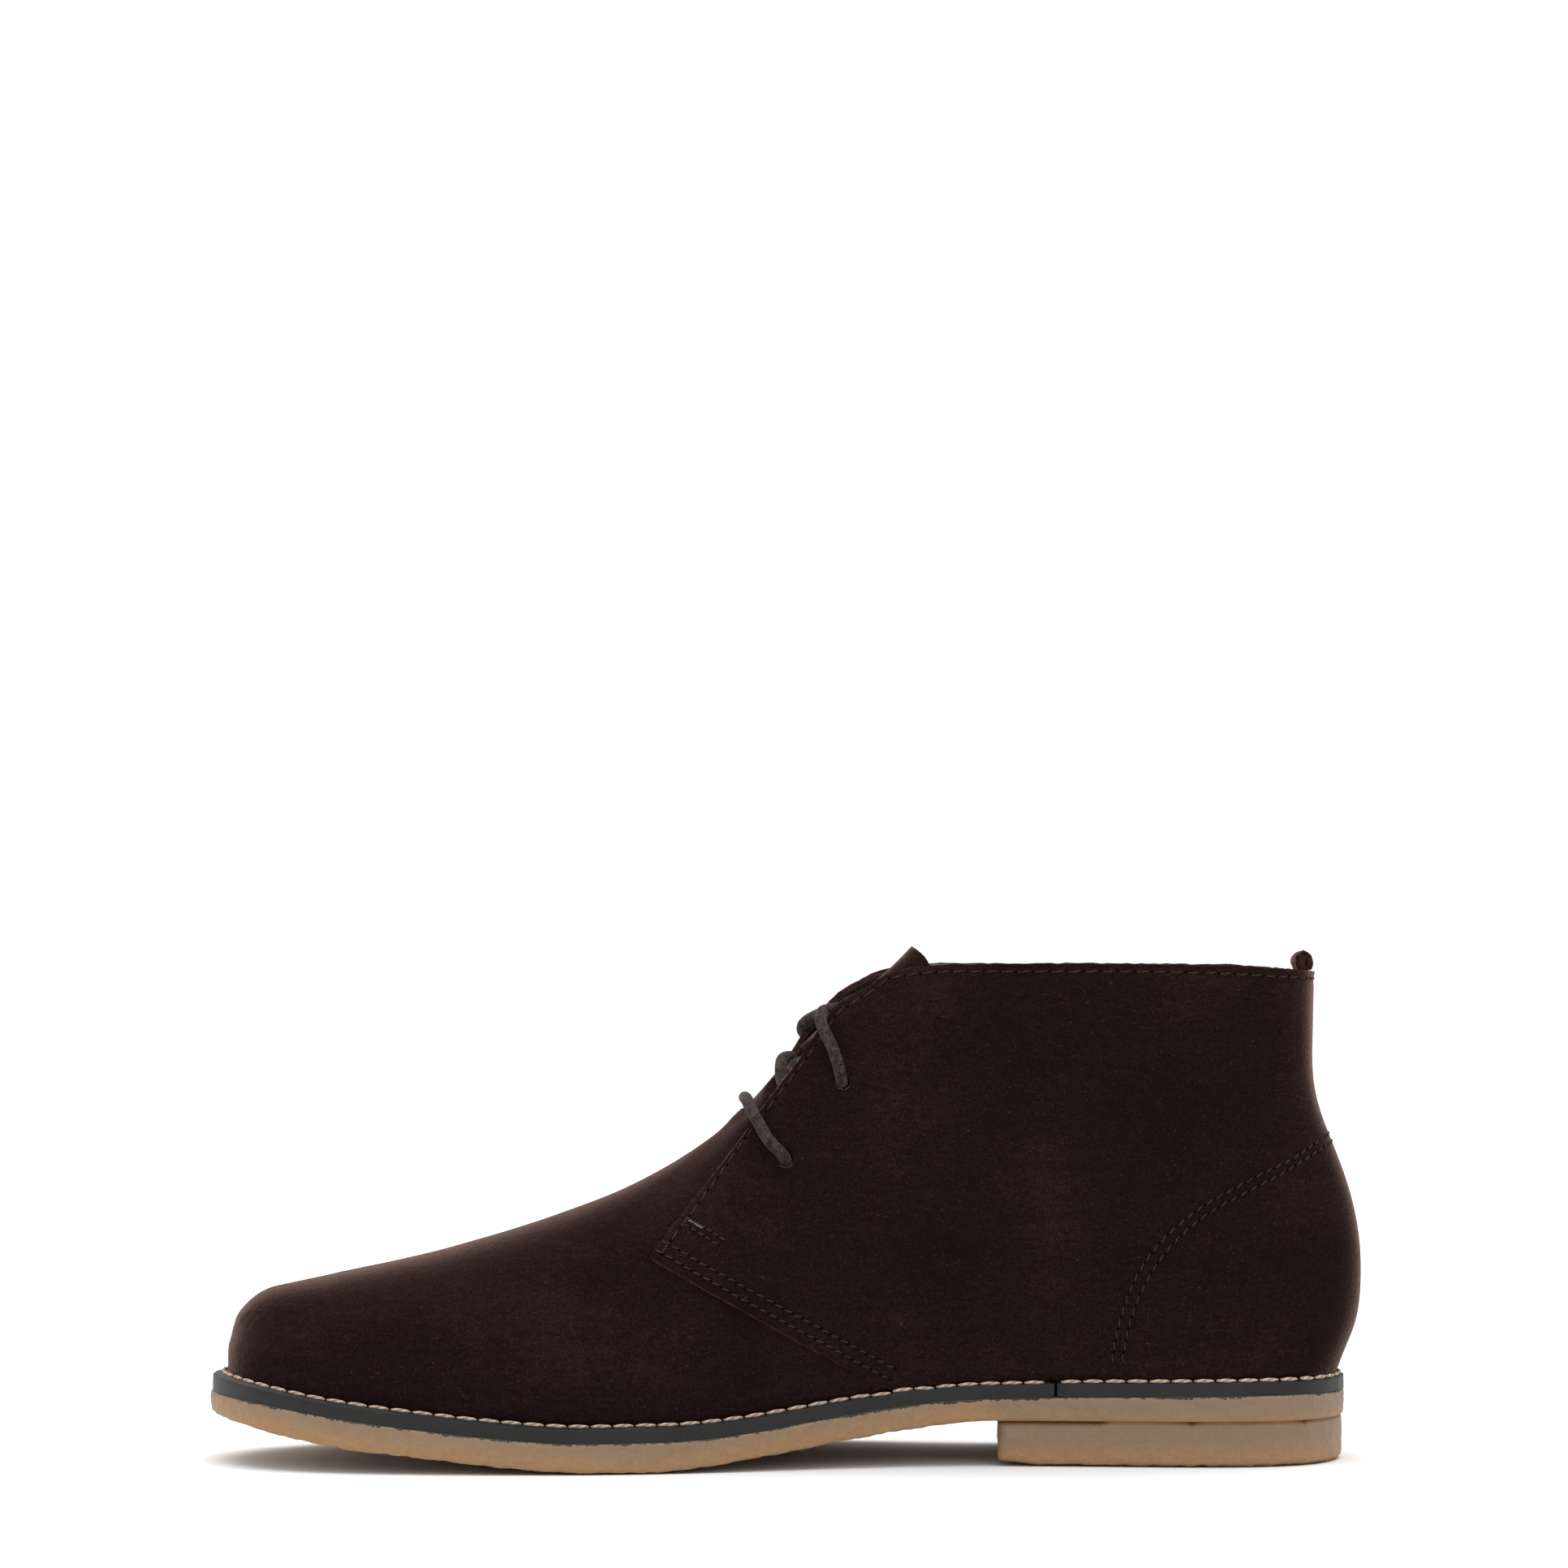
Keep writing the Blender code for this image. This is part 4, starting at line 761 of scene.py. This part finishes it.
def shape_tongue(mesh):
    """Curls the tongue's top round the shin, frays its cut top and presses it under the lace."""
    moves = []
    for vert in mesh.vertices:
        place = vert.co
        high = clamp((place.z - TONGUE_CURL_FROM) / (TONGUE_CURL_TO - TONGUE_CURL_FROM))
        aside = (place.y - TONGUE_MIDDLE) / TONGUE_CURL_WIDTH
        move = vert.normal * (noise.noise(place * 60.0) * TONGUE_WAVE)
        move.x += TONGUE_CURL * high * high * aside * aside
        frayed = max(0.0, 1.0 - (TONGUE_TOP - place.z) / TONGUE_FRAY_DEPTH)
        move.z += frayed * noise.noise(place * 900.0) * TONGUE_FRAY
        moves.append(move)
    move_points(mesh, moves)
    for _ in range(TONGUE_PRESSES):
        moves = []
        for vert in mesh.vertices:
            near, _, away = lace_tree.find(vert.co)
            outward = vert.normal.dot(TONGUE_OUT)
            clear = LACE_DIAMETER / 2.0 + LACE_CLEARANCE + TONGUE_THICKNESS * (0.5 - 0.5 * outward)
            height = (vert.co - near).dot(TONGUE_OUT)
            aside = math.sqrt(max(0.0, away ** 2 - height ** 2)) / (clear * TONGUE_GIVE)
            depth = max(0.0, clear + height) * max(0.0, 1.0 - aside ** 2) ** 2
            moves.append(-TONGUE_OUT * min(TONGUE_PRESS, depth))
        move_points(mesh, moves)
        mesh.update()


finish_piece(
    "tongue_suede", tongue_shape, (suede, cut_edge), "brown_suede", "tongue", levels=2,
    change=shape_tongue,
)

# Pull loop
# A narrow strip of suede, folded in two and caught under the collar's stitching at the back. Its
# folded end is pressed thick, with only a slit of an opening.
LOOP_MIDDLE = Vector((0.1372, 0.0, 0.1270))
LOOP_SLIT = 0.15
LOOP_FRONT = 0.1336
LOOP_WIDTH = 0.82
LOOP_SHOULDER = 0.1312
LOOP_ROOT = 0.1216
LOOP_NECK = 0.74
LOOP_BULGE = 0.40
LOOP_FLAT = 0.25
LOOP_RUMPLE = 0.00035
LOOP_SIDEWAYS = 0.8


def press_loop(mesh):
    """Presses the fold shut to a slit, flattens its top and rumples it, as soft suede does."""
    moves = []
    for vert in mesh.vertices:
        outward = vert.co - LOOP_MIDDLE
        outward.y = 0.0
        inside = clamp(-2.0 * vert.normal.dot(outward.normalized()))
        across = vert.co.x + outward.x * (LOOP_SLIT - 1.0) * inside
        share = clamp((vert.co.z - LOOP_ROOT) / (LOOP_SHOULDER - LOOP_ROOT))
        swell = LOOP_NECK + LOOP_BULGE * share
        across = LOOP_MIDDLE.x - LOOP_FRONT + (across - LOOP_MIDDLE.x) * swell
        across = LOOP_FRONT + across * LOOP_WIDTH
        down = -LOOP_FLAT * max(0.0, vert.co.z - LOOP_SHOULDER)
        rumple = vert.normal * noise.noise(vert.co * 420.0) * LOOP_RUMPLE
        moves.append(Vector((across - vert.co.x, 0.0, down)) + rumple)
    move_points(mesh, moves)


loop_shape = copy_of("pull_loop", crease=0.5)
for face in loop_shape.faces:
    face.material_index = 1 if abs(face.normal.y) > LOOP_SIDEWAYS else 0
finish_piece(
    "pull_loop_suede", loop_shape, (suede, cut_edge), "brown_suede", "pull_loop", levels=3,
    change=press_loop,
)

# Insole
# Fibre board covered with the same tan leather as the lining, its edge rounded by the foot, and
# like the lining painted dark brown as shade. It is glued in over the lasting margin of the upper.
insole_shape = copy_of("insole", crease=0.6)
finish_piece("insole_leather", insole_shape, (lining,), "tan_leather", "insole", levels=2)

# Welt
# A strip of charcoal rubber with a rounded lip, laid round the feather line with its two ends
# butted on the inner side, and sewn down with thick cream thread.
WELT_SPOT = Vector((-0.100, -0.047, 0.020))
WELT_FLAT = math.radians(20.0)
WELT_THICKNESS = 0.0035
WELT_SETTLE = 0.00030
WELT_LIFT = 0.0009
WELT_LIFT_FROM = -0.1180
WELT_LIFT_LENGTH = 0.0260
WELT_LIP = 0.0012
WELT_BACK = 0.0011
WELT_BACK_FROM = 0.1250
WELT_BACK_LENGTH = 0.0250
WELT_JOINT = 0.0666
WELT_JOINT_HALF = 0.0015
WELT_JOINT_SHIFT = 0.0013
WELT_JOINT_REACH = 0.0120
WELT_RIM_STEP = 0.0002
WELT_RIM_FROM_UPPER = 0.0006
FACING_DOWN = -0.5


def make_charcoal():
    """Black rubber, faintly grey with mould dust, smooth with a satin lip."""
    material, shader, place = start_finish("charcoal_rubber", Specular_IOR_Level=0.27)
    dust = cloud(place, 60.0, 4.0, 0.6)
    specks = steps(cloud(place, 1600.0, 2.0, 0.5), 0.62, 0.74)
    tint = blend(steps(dust, 0.3, 0.7), colour(0.0085, 0.0083, 0.0080), colour(0.0150, 0.0146, 0.0138))
    tint = blend(specks * 0.4, tint, colour(0.034, 0.032, 0.030))
    feed(shader, Base_Color=tint, Roughness=0.42 + dust * 0.2)
    feed(shader, Normal=relief(dust * 0.6 + cloud(place, 700.0) * 0.4, 0.00015))
    return material


charcoal = make_charcoal()
welt_shape = copy_of("welt", crease=0.08)
welt_border = borders(spread_from(welt_shape, WELT_SPOT, WELT_FLAT))[0]
crease_layer = welt_shape.edges.layers.float["crease_edge"]
for edge in welt_shape.edges:
    if edge[crease_layer] > 0.0 and min(face.normal.z for face in edge.link_faces) < FACING_DOWN:
        edge[crease_layer] = 1.0
    middle = (edge.verts[0].co + edge.verts[1].co) / 2.0
    if middle.y < 0.0 and abs(middle.x - WELT_JOINT) < WELT_JOINT_HALF:
        edge[crease_layer] = 1.0
rim = [
    place for place in even_run(welt_border, WELT_RIM_STEP)
    if (place - skin_tree.find_nearest(place)[0]).length > WELT_RIM_FROM_UPPER
]
rim_tree = point_tree(rim, flat=True)
under_tree = tree_of(welt_shape, [face for face in welt_shape.faces if face.normal.z < FACING_DOWN])


def shape_welt(mesh):
    """Lets the strip down on the sole, rounds its lip, shifts its joint and lifts it at the toe."""
    moves = []
    for vert in mesh.vertices:
        above = vert.co.z - under_tree.find_nearest(vert.co)[0].z
        share = clamp(above / WELT_THICKNESS)
        front = clamp((WELT_LIFT_FROM - vert.co.x) / WELT_LIFT_LENGTH)
        inset = min(1.0, rim_tree.find((vert.co.x, vert.co.y, 0.0))[2] / WELT_LIP)
        drop = WELT_LIP * (1.0 - math.sqrt(1.0 - (1.0 - inset) ** 2))
        from_joint = 1.0
        if vert.co.y < 0.0:
            from_joint = min(1.0, abs(vert.co.x - WELT_JOINT) / WELT_JOINT_REACH)
        ahead = WELT_JOINT_SHIFT * (1.0 - from_joint ** 2) ** 2
        up = share * (front * front * WELT_LIFT - drop) - (1.0 - share) * WELT_SETTLE
        back = clamp((vert.co.x - WELT_BACK_FROM) / WELT_BACK_LENGTH)
        moves.append(Vector((ahead + WELT_BACK * back * (1.0 - inset), 0.0, up)))
    move_points(mesh, moves)


welt = finish_piece(
    "welt_rubber", welt_shape, (charcoal,), "charcoal_welt", "welt", levels=2, change=shape_welt
)

# Sole
# Gum rubber with a crepe finish: greyer where it was rubbed at the top, more orange below, with a
# crumbled lower edge. The heel lift is a second slab, glued on in the same rubber.
CREPE_DEPTH = 0.00030
CRUMB_LIFT = 0.00040
HEEL_FROM = 0.0520
HEEL_FADE = 0.0120
HEEL_RISE = 4.0
GLUE_LINE = 0.0018
GLUE_CLOSE = 0.0010
HEEL_PROUD = 0.0005
WALL_PROUD = 0.0015
SLAB_MIDDLE_X = 0.100
SLAB_FLAT = math.radians(20.0)
CREPE_SCALES = ((330.0, 1.0), (700.0, 0.6))
CRUMB_SCALES = ((260.0, 1.0), (560.0, 0.5))
CRUMB_HEIGHT = 0.0025
WALL_TURN = 0.3
NO_EDGE = 20.0


def make_gum():
    """Crepe rubber: clouded, crumbed and pitted, smeared with charcoal and with orange glue."""
    material, shader, place = start_finish("gum_rubber", Specular_IOR_Level=0.40)
    rise, below, glue = (marked(place, name) for name in ("rise", "below", "glue"))
    clouds = cloud(place, 70.0, 4.0, 0.6)
    crumb = cloud(place, 800.0, 3.0, 0.6)
    rubbed = steps(rise + clouds * 3.0 - 1.5, 0.5, 9.0)
    tint = blend(rubbed, colour(0.315, 0.179, 0.080), colour(0.208, 0.143, 0.089))
    tint = blend(steps(crumb, 0.35, 0.75) * 0.35, tint, colour(0.19, 0.118, 0.066))
    teeth = cloud(place, 420.0, 3.0, 0.7) * 2.0 + cloud(place, 90.0) * 1.2
    tint = blend(steps(below + teeth, 2.00, 1.84), tint, colour(0.012, 0.0115, 0.011))
    tint = blend(steps(glue, 0.90, 0.66), tint, colour(0.185, 0.082, 0.026))
    feed(shader, Base_Color=tint, Roughness=0.45 + crumb * 0.25)
    feed(shader, Normal=relief(crumb * 0.6 + cloud(place, 300.0, 3.0, 0.6) * 0.6, 0.00035))
    return material


def level_finder(shape, height):
    """Finds the height of a slab's upper or lower edge near a point, seen from above."""
    flat = spread_from(shape, Vector((SLAB_MIDDLE_X, 0.0, height)), SLAB_FLAT)
    run = even_run(borders(flat)[0], ROW_STEP)
    tree = point_tree(run, flat=True)
    return lambda vert: run[tree.find((vert.co.x, vert.co.y, 0.0))[1]].z


def under_welt(vert):
    """Height of the welt's underside over a point of the sole's wall."""
    inward = Vector((-vert.normal.x, -vert.normal.y, 0.0))
    above = None
    if inward.length > WALL_TURN:
        start = vert.co + inward.normalized() * WALL_PROUD
        above = welt_skin.ray_cast(start, Vector((0.0, 0.0, 1.0)))[0]
    return above.z if above else vert.co.z + NO_EDGE / MM


def crumble(mesh, bottom_of, top_of, smeared):
    """Gives a slab its crepe skin, closes its glue line and marks each point's place in mm."""
    rise = mesh.attributes.new("rise", "FLOAT", "POINT")
    below = mesh.attributes.new("below", "FLOAT", "POINT")
    glue = mesh.attributes.new("glue", "FLOAT", "POINT")
    moves = []
    for vert in mesh.vertices:
        height = vert.co.z - bottom_of(vert)
        edge = top_of(vert) - vert.co.z
        over_heel = 0.0
        if smeared:
            over_heel = clamp((vert.co.x - HEEL_FROM) / HEEL_FADE + 0.5)
        rise.data[vert.index].value = height * MM + over_heel * HEEL_RISE
        below.data[vert.index].value = edge * MM if smeared else NO_EDGE
        glue.data[vert.index].value = NO_EDGE if smeared else edge * MM
        wall = 1.0 - abs(vert.normal.z)
        pitted = sum(noise.noise(vert.co * scale) * part for scale, part in CREPE_SCALES)
        move = vert.normal * (pitted * CREPE_DEPTH * wall)
        ragged = max(0.0, 1.0 - height / CRUMB_HEIGHT) * (1.0 - over_heel)
        lift = sum((noise.noise(vert.co * scale) * part for scale, part in CRUMB_SCALES), 0.5)
        move.z += ragged * CRUMB_LIFT * max(0.0, lift)
        if not smeared:
            move += Vector((vert.normal.x, vert.normal.y, 0.0)) * HEEL_PROUD
            move.z += GLUE_CLOSE * max(0.0, 1.0 - edge / GLUE_LINE)
        moves.append(move)
    move_points(mesh, moves)


gum = make_gum()
welt_skin = skin_of(welt, 0)
for node in ("outsole", "heel_block"):
    shape = copy_of(node, crease=0.9)
    low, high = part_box(node)
    smeared = node == "outsole"
    change = functools.partial(
        crumble, bottom_of=level_finder(shape, low[2]),
        top_of=under_welt if smeared else level_finder(shape, high[2]), smeared=smeared,
    )
    finish_piece(node + "_gum", shape, (gum,), "gum_rubber", node, levels=3, change=change)

# Welt stitches
# Thick waxed thread in long stitches, close to the upper. Each one bows up from the welt between
# two needle holes, and the row stops short of the welt's joint on both sides.
WELT_STITCH_PITCH = 0.00568
WELT_STITCH_SIZE = (0.0054, 0.0011, 0.0011)
WELT_STITCH_INSET = 0.0010
WELT_STITCH_SHARE = 0.6
WELT_STITCH_STOP = 0.0015
WELT_LEDGE_LEAST = 0.0003
WELT_LEDGE_OVER = Vector((0.0, 0.0, 0.0015))
cream_thread = make_thread("cream_thread", colour(0.27, 0.175, 0.125), colour(0.56, 0.45, 0.35))
stitch_line = []
for edge in even_run(welt_border, ROW_STEP):
    foot, facing = skin_tree.find_nearest(edge + WELT_LEDGE_OVER)[:2]
    outward = edge - foot
    outward.z = 0.0
    if outward.dot(facing) > WELT_LEDGE_LEAST:
        inset = min(WELT_STITCH_INSET, WELT_STITCH_SHARE * outward.length)
        spot = foot + outward.normalized() * inset
        stitch_line.append(Vector((spot.x, spot.y, edge.z)))


def joint_distance(spot):
    """How far a place of the stitch line is from the welt's joint, on the inner side."""
    return abs(spot.x - WELT_JOINT - WELT_JOINT_SHIFT) + max(0.0, spot.y)


stop = min(range(len(stitch_line)), key=lambda i: joint_distance(stitch_line[i]))
turned = stitch_line[stop:] + stitch_line[:stop]
stitch_line = [spot for spot in turned if (spot - turned[0]).length > WELT_STITCH_STOP]
sew("welt_stitches", [stitch_line], WELT_STITCH_PITCH, WELT_STITCH_SIZE, welt_skin, cream_thread)

# Lace
# Round waxed cotton lace with a braided cover. It crosses outside over the lower holes, passes
# under the facings, crosses over the tongue, and its two ends are tucked into the throat. Each hole
# has a thin pale lower lip: a painted highlight where the light from above falls on its rounded rim.
LACE_SIDES = 16
BRAID_PITCH = 0.0013
BRAID_TURNS = 8.0
LIP_RADIUS = 0.0021
LIP_DIAMETER = 0.00028
LIP_STEP = 0.0004
LIP_FROM = 210.0
LIP_TURN = 20.0
LIP_POINTS = 7
TUBE_MERGE_STEP = 1e-6


def make_lace_cotton():
    """Braided waxed cotton: random fuzz and wear, pale wax specks, and painted highlight on the raised
    plaits.
    """
    material, shader, place = start_finish(
        "braided_lace", Roughness=0.85, Specular_IOR_Level=0.10,
        Sheen_Weight=0.16, Sheen_Roughness=0.30, Sheen_Tint=colour(0.90, 0.78, 0.74),
    )
    along, round_it = laid_out(place, "braid")
    turn = math.tau * BRAID_TURNS
    pace = math.tau / BRAID_PITCH
    plait = ripple(along * pace + round_it * turn) * ripple(along * pace - round_it * turn)
    plait = plait * 0.5 + 0.5
    fuzz = cloud(place, 2100.0, 3.0, 0.7)
    worn = cloud(place, 620.0, 3.0, 0.65)
    wax = steps(cloud(place, 1100.0, 3.0, 0.6), 0.60, 0.74)
    # The plait share paints highlight on the raised plaits and shade in the crossings between them.
    lie = plait * 0.07 + fuzz * 0.43 + worn * 0.50
    mask = steps(lie, 0.38, 0.62)
    tint = blend(mask, colour(0.0060, 0.0039, 0.0035), colour(0.0600, 0.0410, 0.0370))
    tint = blend(wax * 0.45, tint, colour(0.086, 0.066, 0.056))
    feed(shader, Base_Color=tint, Normal=relief(plait * 0.25 + fuzz * 0.5 + worn * 0.5, 0.00030))
    return material


def length_of(path):
    """The length of a line through its points."""
    return sum((after - before).length for before, after in zip(path, path[1:]))


def lace_tube(path, diameter):
    """A round lace along a path, with its braid laid out along and round it."""
    shape = bmesh.new()
    shape.loops.layers.uv.new("braid")
    sides, count, length = LACE_SIDES, len(path) - 1, length_of(path)
    bmesh.ops.create_grid(shape, x_segments=count, y_segments=sides, size=0.5, calc_uvs=True)
    frames = []
    across = None
    for index, place in enumerate(path):
        ahead = (path[min(index + 1, count)] - path[max(index - 1, 0)]).normalized()
        across = across or ahead.orthogonal().normalized()
        across = (across - ahead * across.dot(ahead)).normalized()
        frames.append((place, across, ahead.cross(across)))
    for vert in shape.verts:
        place, first, second = frames[round((vert.co.x + 0.5) * count)]
        angle = math.tau * round((vert.co.y + 0.5) * sides) / sides
        vert.co = place + (first * math.cos(angle) + second * math.sin(angle)) * diameter / 2.0
    layer = shape.loops.layers.uv["braid"]
    for face in shape.faces:
        for loop in face.loops:
            loop[layer].uv.x *= length
    bmesh.ops.remove_doubles(shape, verts=shape.verts, dist=TUBE_MERGE_STEP)
    ends = [edge for edge in shape.edges if edge.is_boundary]
    bmesh.ops.holes_fill(shape, edges=ends, sides=sides)
    bmesh.ops.recalc_face_normals(shape, faces=shape.faces)
    return shape


def make_lip_highlight():
    """Pale colour for the holes' lower lips: a painted highlight where light from above meets the rim.
    """
    material, shader, place = start_finish("lip_highlight", Roughness=0.9, Specular_IOR_Level=0.0)
    fibre = steps(cloud(place, 1800.0, 2.0, 0.6), 0.35, 0.65)
    feed(shader, Base_Color=blend(fibre, colour(0.030, 0.017, 0.013), colour(0.092, 0.060, 0.044)))
    return material


lace_cotton = make_lace_cotton()
run_shape = lace_tube(lace_run, LACE_DIAMETER)
finish_piece("lace_run", run_shape, (lace_cotton,), "waxed_cotton", "lace_bar", "lace_cross")
for name, node, path in (
    ("lace_end_near", "lace_end_inner", lace_ends[0]),
    ("lace_end_far", "lace_end_outer", lace_ends[1]),
):
    length = length_of(path)
    piece = finish_piece(name, lace_tube(path, LACE_DIAMETER), (lace_cotton,), "waxed_cotton", node)

# Each lip is a thin pale tube round the lower part of a hole: painted highlight on the lit rim.
lips = bmesh.new()
for centre, outward in LACE_HOLES:
    outward = Vector(outward).normalized()
    along = Vector((1.0, 0.0, 0.0)) - outward * outward.x
    upward = Vector((0.0, 0.0, 1.0)) - outward * outward.z
    arc = []
    for step in range(LIP_POINTS):
        angle = math.radians(LIP_FROM + step * LIP_TURN)
        reach = along.normalized() * math.cos(angle) + upward.normalized() * math.sin(angle)
        arc.append(skin.find_nearest(Vector(centre) + HOLE_DRAWN + reach * LIP_RADIUS)[0])
    lip = lace_tube(smooth_run(arc, LIP_STEP), LIP_DIAMETER)
    mesh = bpy.data.meshes.new("lip")
    lip.to_mesh(mesh)
    lip.free()
    lips.from_mesh(mesh)
    bpy.data.meshes.remove(mesh)
finish_piece("hole_lips", lips, (make_lip_highlight(),), "brown_suede")

# Studio
# A plain white floor under a large soft light from above, with a little more light from the front.
FLOOR_SIZE = 6.0


def make_floor_paint():
    """Matt white paint, hardly clouded."""
    material, shader, place = start_finish("floor_paint", Roughness=0.9, Specular_IOR_Level=0.0)
    wash = cloud(place, 0.6)
    feed(shader, Base_Color=blend(wash, colour(0.80, 0.80, 0.80), colour(0.82, 0.82, 0.82)))
    return material


floor_shape = bmesh.new()
bmesh.ops.create_grid(floor_shape, x_segments=1, y_segments=1, size=FLOOR_SIZE)
floor_mesh = bpy.data.meshes.new("floor")
floor_shape.to_mesh(floor_mesh)
floor_shape.free()
floor_mesh.materials.append(make_floor_paint())
floor = bpy.data.objects.new("floor", floor_mesh)
bpy.context.scene.collection.objects.link(floor)
lamp = bpy.data.lights.new("top_light", "SUN")
lamp.energy = 2.6
lamp.angle = math.radians(70.0)
top_light = bpy.data.objects.new("top_light", lamp)
bpy.context.scene.collection.objects.link(top_light)
top_light.rotation_euler = (math.radians(-8.0), 0.0, 0.0)
world = bpy.data.worlds.new("studio")
world.use_nodes = True
world.node_tree.nodes["Background"].inputs["Color"].default_value = colour(1.0, 1.0, 1.0)
world.node_tree.nodes["Background"].inputs["Strength"].default_value = 1.0
bpy.context.scene.world = world
bpy.context.scene.view_settings.view_transform = "Standard"
